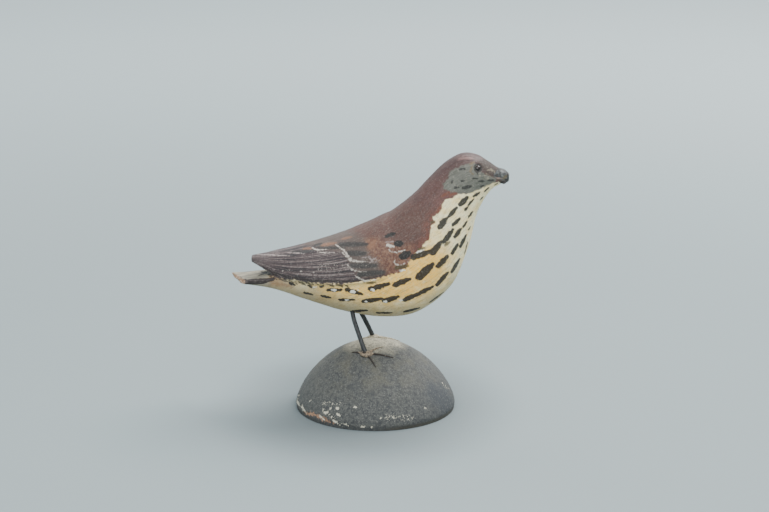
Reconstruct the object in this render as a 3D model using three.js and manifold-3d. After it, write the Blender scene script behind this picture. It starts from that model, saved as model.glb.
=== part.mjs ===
import * as THREE from 'three';
import { mergeVertices } from 'three/addons/utils/BufferGeometryUtils.js';
import Module from 'manifold-3d';

// A miniature thrasher, carved from wood and painted, on two wire legs that stand in a rock-like mound.
// Millimetres, +Z up. The head points to +X and the bird's right side to -Y.
// The origin is the middle of the mound's flat underside.

const wasm = await Module();
wasm.setup();

const MERGE_DISTANCE = 1e-5;

// Mound: a dome that is fullest just above its foot
const MOUND_RADIUS = 23;
const MOUND_HEIGHT = 19.4;
const MOUND_FOOT_RADIUS = 22.8;
const MOUND_FOOT_HEIGHT = 1.5;
const MOUND_RISE = 1.4;
const MOUND_SHOULDER = 2.0;
const MOUND_STEPS = 15;
const MOUND_SIDES = 52;

// Wire legs, and how deep they sit in the belly and in the mound
const WIRE_RADIUS = 0.7;
const WIRE_SIDES = 10;
const WIRE_STEPS = 14;
const HOLE_CLEARANCE = 0.15;

// Putty feet: a lump round the wire and four toes that lie on the mound
const LUMP_LENGTH = 3.8;
const LUMP_WIDTH = 3.2;
const LUMP_HEIGHT = 1.0;
const LUMP_LIFT = 0.15;
const LUMP_SIDES = 12;
const LUMP_STEPS = 8;
const TOE_ROOT_RADIUS = 0.62;
const TOE_TIP_RADIUS = 0.28;
const TOE_LIFT = 0.4;
const TOE_STEPS = 5;
const TOE_SIDES = 6;
const SEAT_GAP = 0.1;

// Glass bead eyes in carved sockets
const EYE_RADIUS = 1.1;
const EYE_SOCKET_RADIUS = 1.22;
const EYE_CENTRE = [28.9, 3.85, 71.5];
const EYE_SIDES = 14;
const EYE_STEPS = 8;

// Bird: carved body, with the folded wings standing proud of the flanks
const BODY_RINGS = 54;
const BODY_SIDES = 32;
const WING_RINGS = 30;
const WING_SIDES = 28;
const WING_EDGE_THICKNESS = 0.8;
const WING_UNDER_SQUARE = 3.5;

// The tail ends in an old break that runs obliquely, longer on the left side
const BREAK_RIGHT = [-37.2, -5];
const BREAK_LEFT = [-42.5, 5];
const CUT_DEPTH = 12;
const CUT_WIDTH = 40;
const CUT_HEIGHT = 12;

const COLOURS = {
  bird: 0x7a4a38,
  mound: 0x55575a,
  wire: 0x3c3f44,
  putty: 0xb8a592,
  glass: 0x141210,
};

// Body sections from tail to bill: the point on the back and the point on the belly, both [x, z] in the
// middle plane, the widest half, the share of the way down where that is, and how square the section is
// above and below (2 is an ellipse)
const BODY_SECTIONS = [
  ['tail end', [-43.4, 37.6], [-43.4, 36.4], 5.0, 0.35, 5.0, 2.6],
  ['tail', [-36.2, 38.3], [-36.1, 36.0], 5.2, 0.35, 4.5, 2.6],
  ['tail root', [-29.1, 39.7], [-28.5, 34.8], 6.2, 0.36, 3.5, 2.5],
  ['vent', [-20.6, 43.7], [-19.7, 31.8], 8.2, 0.38, 2.4, 2.2],
  ['thighs', [-11.1, 48.6], [-8.7, 28.6], 10.2, 0.42, 2.2, 2.1],
  ['belly', [-2.5, 53.2], [2.5, 27.2], 11.4, 0.48, 2.1, 2.1],
  ['breast', [5.0, 58.4], [12.5, 29.0], 11.8, 0.52, 2.1, 2.1],
  ['shoulders', [10.9, 63.3], [21.8, 36.8], 10.9, 0.52, 2.1, 2.1],
  ['neck root', [15.3, 68.1], [26.5, 48.1], 8.9, 0.52, 2.1, 2.1],
  ['neck', [19.5, 72.3], [28.7, 57.3], 7.0, 0.5, 2.1, 2.1],
  ['crown', [24.2, 75.0], [31.3, 62.8], 5.8, 0.48, 2.2, 2.1],
  ['brow', [28.3, 74.8], [33.4, 65.4], 4.8, 0.48, 2.2, 2.1],
  ['lores', [31.8, 72.9], [35.0, 66.2], 3.3, 0.5, 2.1, 2.1],
  ['bill root', [34.3, 71.3], [35.4, 66.7], 2.4, 0.5, 2.1, 2.1],
  ['bill', [36.4, 70.7], [36.4, 66.4], 2.0, 0.5, 2.3, 2.5],
  ['broken bill end', [37.8, 69.6], [37.8, 67.3], 1.3, 0.5, 2.3, 2.3],
].map(([place, back, belly, halfWidth, widest, above, below]) => (
  { place, back, belly, halfWidth, widest, above, below }
));

// Folded wings, from the tips over the tail to the shoulders, where they run into the body: x, height of
// the back line, height of the lower edge, widest half, squareness
const WING_SECTIONS = [
  [-35.6, 44.1, 43.1, 1.4, 2.4],
  [-31.6, 44.9, 41.6, 4.1, 2.2],
  [-27.6, 46.0, 40.3, 6.1, 2.0],
  [-20.7, 47.8, 39.4, 8.9, 2.0],
  [-11.1, 50.9, 39.1, 11.0, 2.0],
  [-2.1, 54.7, 40.3, 12.1, 2.1],
  [3.8, 57.6, 42.0, 12.0, 2.1],
  [10.0, 58.0, 45.0, 9.4, 2.1],
].map(([x, back, edge, halfWidth, square]) => ({ x, back, edge, halfWidth, square }));

// Wire routes from inside the belly down into the mound
const RIGHT_LEG_ROUTE = [
  [-6.7, -4.0, 32.2],
  [-6.2, -4.3, 29.2],
  [-5.6, -5.0, 26.9],
  [-4.3, -6.0, 23.4],
  [-3.0, -7.1, 20.2],
  [-1.6, -8.2, 17.0],
  [-0.6, -8.7, 14.6],
];
const LEFT_LEG_ROUTE = [
  [-7.5, 4.0, 32.2],
  [-6.2, 4.2, 29.5],
  [-4.5, 4.5, 26.3],
  [-2.8, 4.9, 22.8],
  [-1.2, 5.6, 18.9],
  [-0.2, 6.0, 15.6],
];

// Where each foot's lump and toe tips are, seen from above
const RIGHT_FOOT = {
  lump: [-1.9, -8.1],
  toeTips: [[1.3, -12.6], [6.0, -8.2], [2.8, -3.7], [-6.4, -6.0]],
};
const LEFT_FOOT = {
  lump: [-0.9, 5.6],
  toeTips: [[1.9, 11.0], [6.6, 7.1], [3.3, 2.7], [-5.4, 5.1]],
};

// Height of the mound's surface at a distance from its axis
function moundHeightAt(x, y) {
  const share = Math.min(Math.hypot(x, y) / MOUND_RADIUS, 1);
  const rise = (1 - share ** MOUND_SHOULDER) ** (1 / MOUND_RISE);
  return MOUND_FOOT_HEIGHT + (MOUND_HEIGHT - MOUND_FOOT_HEIGHT) * rise;
}

// Uniform Catmull-Rom value through equally spaced numbers, with mirrored ends
function through(values, t) {
  const last = values.length - 1;
  const i = Math.min(Math.floor(t), last - 1);
  const u = t - i;
  const b = values[i];
  const c = values[i + 1];
  const a = i > 0 ? values[i - 1] : 2 * b - c;
  const d = i + 2 <= last ? values[i + 2] : 2 * c - b;
  const bend = (2 * a - 5 * b + 4 * c - d) * u ** 2 + (3 * b - a - 3 * c + d) * u ** 3;
  return 0.5 * (2 * b + (c - a) * u + bend);
}

// Signed power that keeps a superellipse closed in all four quarters
function softPower(value, power) {
  return Math.sign(value) * Math.abs(value) ** power;
}

// One closed section between a back point and a belly point in the middle plane
function sectionRing({ back, belly, halfWidth, widest, above, below }, sides) {
  const middle = [0, 1].map((k) => back[k] + (belly[k] - back[k]) * widest);
  const ring = [];
  for (let j = 0; j < sides; j += 1) {
    const angle = (2 * Math.PI * j) / sides;
    const upper = Math.cos(angle) >= 0;
    const power = 2 / (upper ? above : below);
    const reach = Math.abs(softPower(Math.cos(angle), power));
    const end = upper ? back : belly;
    const x = middle[0] + (end[0] - middle[0]) * reach;
    const z = middle[1] + (end[1] - middle[1]) * reach;
    ring.push(new THREE.Vector3(x, halfWidth * softPower(Math.sin(angle), power), z));
  }
  return ring;
}

// Sections along the piece, smoothed between the stations
function smoothSections(stations, rings) {
  const at = (pick, t) => through(stations.map(pick), t);
  const sections = [];
  for (let i = 0; i < rings; i += 1) {
    const t = ((stations.length - 1) * i) / (rings - 1);
    sections.push({
      back: [0, 1].map((k) => at((s) => s.back[k], t)),
      belly: [0, 1].map((k) => at((s) => s.belly[k], t)),
      halfWidth: at((s) => s.halfWidth, t),
      widest: at((s) => s.widest, t),
      above: at((s) => s.above, t),
      below: at((s) => s.below, t),
    });
  }
  return sections;
}

// A closed skin over a row of rings with equal numbers of points, capped at both ends
function skin(rings) {
  const sides = rings[0].length;
  const centre = (ring) => ring.reduce((sum, p) => sum.add(p), new THREE.Vector3()).divideScalar(sides);
  const points = rings.flat();
  const first = points.length;
  points.push(centre(rings[0]), centre(rings[rings.length - 1]));
  const faces = [];
  for (let i = 0; i < rings.length - 1; i += 1) {
    for (let j = 0; j < sides; j += 1) {
      const a = i * sides + j;
      const b = i * sides + ((j + 1) % sides);
      faces.push(a, b, b + sides, a, b + sides, a + sides);
    }
  }
  const end = (rings.length - 1) * sides;
  for (let j = 0; j < sides; j += 1) {
    const next = (j + 1) % sides;
    faces.push(first, next, j, first + 1, end + j, end + next);
  }
  const geometry = new THREE.BufferGeometry().setFromPoints(points);
  geometry.setIndex(faces);
  return geometry;
}

// A solid for booleans, from a closed geometry. Inside-out geometry is turned round.
function solid(geometry) {
  const bare = geometry.clone();
  bare.deleteAttribute('normal');
  bare.deleteAttribute('uv');
  const merged = mergeVertices(bare, MERGE_DISTANCE);
  const vertProperties = new Float32Array(merged.attributes.position.array);
  const triVerts = new Uint32Array(merged.index.array);
  const mesh = new wasm.Mesh({ numProp: 3, vertProperties, triVerts });
  const made = new wasm.Manifold(mesh);
  if (made.volume() > 0) return made;
  triVerts.reverse();
  return new wasm.Manifold(new wasm.Mesh({ numProp: 3, vertProperties, triVerts }));
}

// The named mesh of a solid, in its own colour
function piece(name, made, colour, roughness, metalness = 0) {
  const { vertProperties, triVerts } = made.getMesh();
  const geometry = new THREE.BufferGeometry();
  geometry.setAttribute('position', new THREE.BufferAttribute(new Float32Array(vertProperties), 3));
  geometry.setIndex(new THREE.BufferAttribute(new Uint32Array(triVerts), 1));
  geometry.computeVertexNormals();
  const material = new THREE.MeshStandardMaterial({ color: colour, roughness, metalness });
  const mesh = new THREE.Mesh(geometry, material);
  mesh.name = name;
  return mesh;
}

// Dome turned about the vertical axis: the rolled foot first, then the rise to the top
function moundSolid(grow = 0) {
  const profile = [new THREE.Vector2(0, 0), new THREE.Vector2(MOUND_FOOT_RADIUS + grow, 0)];
  for (let i = 0; i <= MOUND_STEPS; i += 1) {
    const along = Math.sin((Math.PI / 2) * (i / MOUND_STEPS));
    const radius = MOUND_RADIUS * (1 - along ** MOUND_RISE) ** (1 / MOUND_SHOULDER);
    const height = MOUND_FOOT_HEIGHT + (MOUND_HEIGHT - MOUND_FOOT_HEIGHT) * along;
    profile.push(new THREE.Vector2(i === MOUND_STEPS ? 0 : radius + grow, height + grow));
  }
  const geometry = new THREE.LatheGeometry(profile, MOUND_SIDES);
  geometry.rotateX(Math.PI / 2);
  return solid(geometry);
}

// Round wire along a smooth route
function wireSolid(route, radius) {
  const path = new THREE.CatmullRomCurve3(route.map((p) => new THREE.Vector3(...p)));
  const outline = new THREE.Shape();
  for (let j = 0; j < WIRE_SIDES; j += 1) {
    const angle = (2 * Math.PI * j) / WIRE_SIDES;
    const x = radius * Math.cos(angle);
    const y = radius * Math.sin(angle);
    if (j === 0) outline.moveTo(x, y);
    else outline.lineTo(x, y);
  }
  return solid(new THREE.ExtrudeGeometry(outline, { steps: WIRE_STEPS, extrudePath: path }));
}

// The hole that takes a wire: wider by the clearance, and as much deeper at both ends
function wireHole(route) {
  const first = new THREE.Vector3(...route[0]);
  const last = new THREE.Vector3(...route[route.length - 1]);
  const before = first.clone().sub(new THREE.Vector3(...route[1])).setLength(HOLE_CLEARANCE);
  const after = last.clone().sub(new THREE.Vector3(...route[route.length - 2])).setLength(HOLE_CLEARANCE);
  const longer = [first.add(before).toArray(), ...route.slice(1, -1), last.add(after).toArray()];
  return wireSolid(longer, WIRE_RADIUS + HOLE_CLEARANCE);
}

// One toe: a tapering ridge that follows the mound from the lump to its tip
function toeSolid(from, to) {
  const rings = [];
  for (let i = 0; i <= TOE_STEPS; i += 1) {
    const share = i / TOE_STEPS;
    const radius = THREE.MathUtils.lerp(TOE_ROOT_RADIUS, TOE_TIP_RADIUS, share);
    const x = THREE.MathUtils.lerp(from[0], to[0], share);
    const y = THREE.MathUtils.lerp(from[1], to[1], share);
    const across = new THREE.Vector3(from[1] - to[1], to[0] - from[0], 0).normalize();
    const middle = new THREE.Vector3(x, y, moundHeightAt(x, y) + TOE_LIFT * radius);
    const ring = [];
    for (let j = 0; j < TOE_SIDES; j += 1) {
      const angle = (2 * Math.PI * j) / TOE_SIDES;
      const side = across.clone().multiplyScalar(radius * Math.cos(angle));
      ring.push(middle.clone().add(side).add(new THREE.Vector3(0, 0, radius * Math.sin(angle))));
    }
    rings.push(ring);
  }
  return solid(skin(rings));
}

// A putty foot, hollowed to sit over the mound and round its wire
function footSolid({ lump, toeTips }, legRoute) {
  const body = new THREE.SphereGeometry(1, LUMP_SIDES, LUMP_STEPS);
  body.scale(LUMP_LENGTH / 2, LUMP_WIDTH / 2, LUMP_HEIGHT);
  body.translate(lump[0], lump[1], moundHeightAt(...lump) + LUMP_LIFT * LUMP_HEIGHT);
  let foot = solid(body);
  for (const tip of toeTips) foot = foot.add(toeSolid(lump, tip));
  return foot.subtract(moundSolid(SEAT_GAP)).subtract(wireSolid(legRoute, WIRE_RADIUS + SEAT_GAP));
}

// Folded wings as one roof over the back, with a thin edge that stands off the flanks
function wingSolid() {
  const stations = WING_SECTIONS.map(({ x, back, edge, halfWidth, square }) => ({
    back: [x, back],
    belly: [x, edge - WING_EDGE_THICKNESS],
    halfWidth,
    widest: (back - edge) / (back - edge + WING_EDGE_THICKNESS),
    above: square,
    below: WING_UNDER_SQUARE,
  }));
  const sections = smoothSections(stations, WING_RINGS);
  return solid(skin(sections.map((s) => sectionRing(s, WING_SIDES))));
}

// Everything beyond the tail's break
function brokenOffTail() {
  const along = new THREE.Vector2(BREAK_LEFT[0] - BREAK_RIGHT[0], BREAK_LEFT[1] - BREAK_RIGHT[1]);
  const block = new THREE.BoxGeometry(CUT_DEPTH, CUT_WIDTH, CUT_HEIGHT);
  block.translate(-CUT_DEPTH / 2, 0, 0);
  block.rotateZ(Math.atan2(-along.x, along.y));
  const middle = [0, 1].map((k) => (BREAK_RIGHT[k] + BREAK_LEFT[k]) / 2);
  block.translate(middle[0], middle[1], BODY_SECTIONS[0].belly[1]);
  return solid(block);
}

function eyeSphere(side, radius) {
  const ball = new THREE.SphereGeometry(radius, EYE_SIDES, EYE_STEPS);
  ball.translate(EYE_CENTRE[0], side * EYE_CENTRE[1], EYE_CENTRE[2]);
  return solid(ball);
}

function birdSolid() {
  const sections = smoothSections(BODY_SECTIONS, BODY_RINGS);
  return solid(skin(sections.map((s) => sectionRing(s, BODY_SIDES))))
    .add(wingSolid())
    .subtract(brokenOffTail())
    .subtract(eyeSphere(-1, EYE_SOCKET_RADIUS))
    .subtract(eyeSphere(1, EYE_SOCKET_RADIUS))
    .subtract(wireHole(RIGHT_LEG_ROUTE))
    .subtract(wireHole(LEFT_LEG_ROUTE));
}

const carving = new THREE.Group();
const mound = moundSolid().subtract(wireHole(RIGHT_LEG_ROUTE)).subtract(wireHole(LEFT_LEG_ROUTE));
carving.add(piece('mound', mound, COLOURS.mound, 0.85));
carving.add(piece('bird', birdSolid(), COLOURS.bird, 0.6));
carving.add(piece('right_leg', wireSolid(RIGHT_LEG_ROUTE, WIRE_RADIUS), COLOURS.wire, 0.5, 0.8));
carving.add(piece('left_leg', wireSolid(LEFT_LEG_ROUTE, WIRE_RADIUS), COLOURS.wire, 0.5, 0.8));
carving.add(piece('right_foot', footSolid(RIGHT_FOOT, RIGHT_LEG_ROUTE), COLOURS.putty, 0.9));
carving.add(piece('left_foot', footSolid(LEFT_FOOT, LEFT_LEG_ROUTE), COLOURS.putty, 0.9));
carving.add(piece('right_eye', eyeSphere(-1, EYE_RADIUS), COLOURS.glass, 0.1));
carving.add(piece('left_eye', eyeSphere(1, EYE_RADIUS), COLOURS.glass, 0.1));

export default carving;
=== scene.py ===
import math
from functools import partialmethod

import bpy
import numpy as np
from mathutils import Matrix, Vector
from mathutils.bvhtree import BVHTree


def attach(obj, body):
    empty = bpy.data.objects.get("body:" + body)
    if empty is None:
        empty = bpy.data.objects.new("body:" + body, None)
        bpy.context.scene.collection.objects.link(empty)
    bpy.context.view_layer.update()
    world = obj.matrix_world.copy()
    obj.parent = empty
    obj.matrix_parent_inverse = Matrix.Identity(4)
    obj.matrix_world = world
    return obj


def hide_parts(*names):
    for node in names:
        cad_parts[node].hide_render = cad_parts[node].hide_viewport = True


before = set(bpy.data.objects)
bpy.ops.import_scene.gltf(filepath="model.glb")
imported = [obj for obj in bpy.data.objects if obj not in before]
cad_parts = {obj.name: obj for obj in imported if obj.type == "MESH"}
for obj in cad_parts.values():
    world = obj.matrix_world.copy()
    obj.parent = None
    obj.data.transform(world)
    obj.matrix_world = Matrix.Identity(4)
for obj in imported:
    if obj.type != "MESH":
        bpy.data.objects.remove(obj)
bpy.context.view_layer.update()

# A miniature thrasher, carved and painted, on wire legs in a rock-like mound. Sizes are millimetres
# here and become metres where a mesh is made. The head points to +X and its right side to -Y.
MM = 0.001

# The photo's frame, and the camera that the carving was measured with: lens, sensor and distance in
# millimetres, clipping in metres, angles in degrees
PHOTO_WIDTH = 769
PHOTO_HEIGHT = 512
LENS = 100.0
SENSOR = 36.0
CLIP = (0.01, 20.0)
CAMERA_AZIMUTH = 5.0
CAMERA_ELEVATION = 15.0
CAMERA_DISTANCE = 620.0
ORIGIN_PIXEL = (375.5, 404.6)

# Mound: a dome that is fullest just above its foot
MOUND_RADIUS = 23.0
MOUND_HEIGHT = 19.4
MOUND_FOOT_RADIUS = 22.8
MOUND_FOOT_HEIGHT = 1.5
MOUND_RISE = 1.4
MOUND_SHOULDER = 2.0
MOUND_ROUGHNESS = 0.34
MOUND_SEED = 4.0

# Wire legs, from inside the belly down into the mound
WIRE_RADIUS = 0.7
WIRE_UNEVENNESS = 0.12
WIRE_LUMP_SIZE = 2.2
RIGHT_LEG_ROUTE = [
    (-6.7, -4.0, 32.2), (-6.2, -4.3, 29.2), (-5.6, -5.0, 26.9), (-4.3, -6.0, 23.4),
    (-3.0, -7.1, 20.2), (-1.6, -8.2, 17.0), (-0.6, -8.7, 14.6),
]
LEFT_LEG_ROUTE = [
    (-7.5, 4.0, 32.2), (-6.2, 4.2, 29.5), (-4.5, 4.5, 26.3), (-2.8, 4.9, 22.8), (-1.2, 5.6, 18.9),
    (-0.2, 6.0, 15.6),
]

# Putty feet, seen from above
LUMP_LENGTH = 3.8
LUMP_WIDTH = 3.2
LUMP_HEIGHT = 1.0
LUMP_LIFT = 0.15
TOE_ROOT_RADIUS = 0.62
TOE_TIP_RADIUS = 0.28
TOE_LIFT = 0.4
TOE_UNEVENNESS = 0.35
TOE_LUMP_SIZE = 1.4
PUTTY_SINK = 0.05
PUTTY_RELIEF = 0.14
RIGHT_FOOT = {
    "lump": (-1.9, -8.1),
    "toe_tips": [(1.3, -12.6), (6.0, -8.2), (2.8, -3.7), (-6.4, -6.0)],
}
LEFT_FOOT = {
    "lump": (-0.9, 5.6),
    "toe_tips": [(1.9, 11.0), (6.6, 7.1), (3.3, 2.7), (-5.4, 5.1)],
}

# Glass bead eyes
EYE_RADIUS = 1.1
EYE_EASE = 0.99
EYE_CENTRE = (28.9, 3.85, 71.5)

# The tail ends in an old break that runs obliquely, longer on the left side
BREAK_RIGHT = (-37.2, -5.0)
BREAK_LEFT = (-42.5, 5.0)
BREAK_ROUGHNESS = 0.4

# Body sections from tail to bill: point on the back, point on the belly (both x, z in the middle
# plane), widest half, share of the way down where that is, squareness above and below
BODY_SECTIONS = [
    ("tail end", (-43.4, 37.6), (-43.4, 36.4), 5.0, 0.35, 5.0, 2.6),
    ("tail", (-36.2, 38.3), (-36.1, 36.0), 5.2, 0.35, 4.5, 2.6),
    ("tail root", (-29.1, 39.7), (-28.5, 34.8), 6.2, 0.36, 3.5, 2.5),
    ("vent", (-20.6, 43.7), (-19.7, 31.8), 8.2, 0.38, 2.4, 2.2),
    ("thighs", (-11.1, 48.6), (-8.7, 28.6), 10.2, 0.42, 2.2, 2.1),
    ("belly", (-2.5, 53.2), (2.5, 27.2), 11.4, 0.48, 2.1, 2.1),
    ("breast", (5.0, 58.4), (12.5, 29.0), 11.8, 0.52, 2.1, 2.1),
    ("shoulders", (10.9, 63.3), (21.8, 36.8), 10.9, 0.52, 2.1, 2.1),
    ("neck root", (15.3, 68.1), (26.5, 48.1), 8.9, 0.52, 2.1, 2.1),
    ("neck", (19.5, 72.3), (28.7, 57.3), 7.0, 0.50, 2.1, 2.1),
    ("crown", (24.2, 75.0), (31.3, 62.8), 5.8, 0.48, 2.2, 2.1),
    ("brow", (28.3, 74.8), (33.4, 65.4), 4.8, 0.48, 2.2, 2.1),
    ("lores", (31.8, 72.9), (35.0, 66.2), 3.3, 0.50, 2.1, 2.1),
    ("bill root", (34.3, 71.3), (35.4, 66.7), 2.4, 0.50, 2.1, 2.1),
    ("bill", (36.4, 70.7), (36.4, 66.4), 2.0, 0.50, 2.3, 2.5),
    ("broken bill end", (37.8, 69.6), (37.8, 67.3), 1.3, 0.50, 2.3, 2.3),
]

# Folded wings from the tips to the shoulders: x, height of the back line, height of the lower edge,
# widest half, squareness
WING_SECTIONS = [
    (-35.6, 44.1, 43.1, 1.4, 2.4), (-31.6, 44.9, 41.6, 4.1, 2.2), (-27.6, 46.0, 40.3, 6.1, 2.0),
    (-20.7, 47.8, 39.4, 8.9, 2.0), (-11.1, 50.9, 39.1, 11.0, 2.0), (-2.1, 54.7, 40.3, 12.1, 2.1),
    (3.8, 57.6, 42.0, 12.0, 2.1), (10.0, 58.0, 45.0, 9.4, 2.1),
]
WING_EDGE_THICKNESS = 0.8
WING_UNDER_SQUARE = 3.5

# Fineness of the dressed meshes
BODY_RINGS = 320
BODY_SIDES = 176
WING_RINGS = 220
WING_SIDES = 132
CARVING_VOXEL = 0.29
FOOT_VOXEL = 0.12
TOE_POINTS = 7
LUMP_RINGS = 26
LUMP_SIDES = 48
EYE_RINGS = 40
EYE_SIDES = 64

# Where the wings' fronts melt into the shoulders: ranges of X from behind and from before, and of Z,
# then how strongly and how often
WING_FRONT_REAR = (-4.0, 2.0)
WING_FRONT_FORE = (-14.0, -10.0)
WING_FRONT_FLOOR = (41.0, 46.0)
WING_FRONT_SHARE = 0.7
WING_FRONT_ROUNDS = 45

# A ball's rings stop at this angle from its middle, where a flat face closes it
BALL_END = 0.499 * math.pi

# Evening out: a step towards the neighbours' mean, then one back, so that the form doesn't shrink
SOFTEN_IN = 0.5
SOFTEN_OUT = 0.52

# Noise on points: how many values it draws, how far from the origin it starts, and how its cells
# choose a value
NOISE_VALUES = 4096
NOISE_START = 512.3
NOISE_STRIDES = (73, 1931, 40009)

# Brush marks: pixels between their points, and how far before and behind the origin a pixel that
# misses the surface looks for it, and in what steps. A mark is widened where the surface turns away
# from the photo's view, down to the given facing. Its copy on the far side has a width of its own.
# Fields of paint are cut off at FAR millimetres
TRAIL_STEP = 1.6
MISS_REACH = 60.0
MISS_STEP = 2.0
TURNED_AWAY = 0.45
TURNED_POWER = 0.7
FAR_SIDE_WIDTHS = (0.85, 1.15)
FAR = 3.0


class PhotoView:
    """The photo's camera, for casting pixels on surfaces and placing points in the photo's frame."""

    def __init__(self):
        azimuth = math.radians(CAMERA_AZIMUTH)
        elevation = math.radians(CAMERA_ELEVATION)
        level = math.cos(elevation)
        self.back = np.array([math.sin(azimuth) * level, -math.cos(azimuth) * level, math.sin(elevation)])
        self.right = np.array([math.cos(azimuth), math.sin(azimuth), 0.0])
        self.up = np.cross(self.back, self.right)
        self.focal = LENS / SENSOR * PHOTO_WIDTH
        self.mm_per_pixel = CAMERA_DISTANCE / self.focal
        across = (ORIGIN_PIXEL[0] - PHOTO_WIDTH / 2) * self.mm_per_pixel
        upward = (PHOTO_HEIGHT / 2 - ORIGIN_PIXEL[1]) * self.mm_per_pixel
        self.place = self.back * CAMERA_DISTANCE - self.right * across - self.up * upward

    def pixels(self, points):
        """Pixel of each point (mm)."""
        offset = points - self.place
        depth = -(offset @ self.back)
        px = PHOTO_WIDTH / 2 + self.focal * (offset @ self.right) / depth
        py = PHOTO_HEIGHT / 2 - self.focal * (offset @ self.up) / depth
        return np.stack([px, py], -1)

    def ray(self, px, py):
        """Direction from the camera through a pixel."""
        across = (px - PHOTO_WIDTH / 2) / self.focal
        upward = (PHOTO_HEIGHT / 2 - py) / self.focal
        direction = across * self.right + upward * self.up - self.back
        return direction / np.linalg.norm(direction)


VIEW = PhotoView()


def smooth_step(value, start, end):
    """Smooth step from 0 at start to 1 at end."""
    share = np.clip((value - start) / (end - start), 0.0, 1.0)
    return share * share * (3 - 2 * share)


def through(table, places):
    """Uniform Catmull-Rom rows through equally spaced rows, with mirrored ends."""
    table = np.asarray(table, float)
    last = len(table) - 1
    places = np.clip(places, 0, last)
    i = np.minimum(places.astype(int), last - 1)
    u = (places - i)[:, None]
    b = table[i]
    c = table[i + 1]
    a = np.where((i == 0)[:, None], 2 * b - c, table[np.maximum(i - 1, 0)])
    d = np.where((i == last - 1)[:, None], 2 * c - b, table[np.minimum(i + 2, last)])
    bend = (2 * a - 5 * b + 4 * c - d) * u**2 + (3 * b - a - 3 * c + d) * u**3
    return 0.5 * (2 * b + (c - a) * u + bend)


def fine_rows(table):
    """Stations between the rows of a table, eight to each, and the rows that lie there."""
    stations = np.linspace(0, len(table) - 1, 8 * len(table))
    return stations, through(table, stations)


def lattice_noise(points, size, seed):
    """Smooth noise between -1 and 1 at each point, with cells of the given size."""
    table = np.random.default_rng(seed).uniform(-1, 1, NOISE_VALUES)
    places = np.asarray(points, float) / size + NOISE_START
    cell = np.floor(places).astype(int)
    part = places - cell
    part = part * part * (3 - 2 * part)
    total = np.zeros(len(places))
    for corner in range(8):
        step = [(corner >> k) & 1 for k in range(3)]
        weight = np.ones(len(places))
        for k in range(3):
            weight *= part[:, k] if step[k] else 1 - part[:, k]
        key = (cell + step) @ NOISE_STRIDES
        total += weight * table[key % NOISE_VALUES]
    return total


def grit(points, size, seed):
    """The same noise between 0 and 1."""
    return 0.5 + 0.5 * lattice_noise(points, size, seed)


def laid_on(points, side):
    """Points of both sides of the bird laid on one side: 1 is its left, -1 its right."""
    return points * (1, 0, 1) + np.abs(points) * (0, side, 0)


def eye_distance(points):
    """How far each point lies from the centre of the eye on its side."""
    return np.linalg.norm(laid_on(points, 1) - np.array(EYE_CENTRE), axis=1)


def hollow(gap, radius, outside, width):
    """A soft groove, 1 deep, some way outside a radius, where gap is the distance from its centre."""
    return np.exp(-(((gap - (radius + outside)) / width) ** 2))


def body_table():
    """Body sections as rows of numbers: back x, z, belly x, z, half width, widest, above, below."""
    return np.array([(*back, *belly, *rest) for _, back, belly, *rest in BODY_SECTIONS])


def wing_table():
    """Wing sections in the same columns as the body's."""
    rows = []
    for x, back, edge, half_width, square in WING_SECTIONS:
        under = edge - WING_EDGE_THICKNESS
        widest = (back - edge) / (back - under)
        rows.append((x, back, x, under, half_width, widest, square, WING_UNDER_SQUARE))
    return np.array(rows)


def section_loft(table, rings, sides):
    """Closed superellipse sections smoothed between the stations: points (rings, sides, 3)."""
    rows = through(table, np.linspace(0, len(table) - 1, rings))
    back = rows[:, None, 0:2]
    belly = rows[:, None, 2:4]
    middle = back + (belly - back) * rows[:, None, 5:6]
    angle = np.linspace(0, 2 * math.pi, sides, endpoint=False)
    upper = np.cos(angle) >= -1e-9
    power = 2 / np.where(upper[None], rows[:, 6:7], rows[:, 7:8])
    reach = np.abs(np.cos(angle))[None] ** power
    out = np.sign(np.sin(angle))[None] * np.abs(np.sin(angle))[None] ** power
    end = np.where(upper[None, :, None], back, belly)
    flat = middle + (end - middle) * reach[..., None]
    return np.stack([flat[..., 0], rows[:, 4:5] * out, flat[..., 1]], -1)


def skin_faces(rings, sides, first=0):
    """Quads round a row of rings, with both ends closed by one face."""
    faces = []
    for i in range(rings - 1):
        for j in range(sides):
            a = first + i * sides + j
            b = first + i * sides + (j + 1) % sides
            faces.append((a, b, b + sides, a + sides))
    faces.append(tuple(first + j for j in reversed(range(sides))))
    faces.append(tuple(first + (rings - 1) * sides + j for j in range(sides)))
    return faces


def add_object(name, data):
    """An object in the scene for a mesh, a light or a camera."""
    made = bpy.data.objects.new(name, data)
    bpy.context.scene.collection.objects.link(made)
    return made


def make_object(name, points, faces, edges=()):
    """An object at the origin from points in millimetres."""
    mesh = bpy.data.meshes.new(name)
    mesh.from_pydata((np.asarray(points, float) * MM).tolist(), list(edges), faces)
    mesh.update()
    return add_object(name, mesh)


def turned(profile, sides):
    """Points of a turned shape: one ring for each radius and height of its profile."""
    angles = np.linspace(0, 2 * math.pi, sides, endpoint=False)
    ring = np.column_stack([np.cos(angles), np.sin(angles), np.ones(sides)])
    return np.vstack([ring * (radius, radius, height) for radius, height in profile])


def ball(rings, sides):
    """Points and faces of a ball of radius 1."""
    levels = np.linspace(-BALL_END, BALL_END, rings)
    return turned([(np.cos(t), np.sin(t)) for t in levels], sides), skin_faces(rings, sides)


def shade_smooth(made):
    """Smooth shading over all of an object."""
    made.data.polygons.foreach_set("use_smooth", np.ones(len(made.data.polygons), bool))


def dress_only(made, material):
    """Gives an object one material."""
    made.data.materials.clear()
    made.data.materials.append(material)


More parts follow.
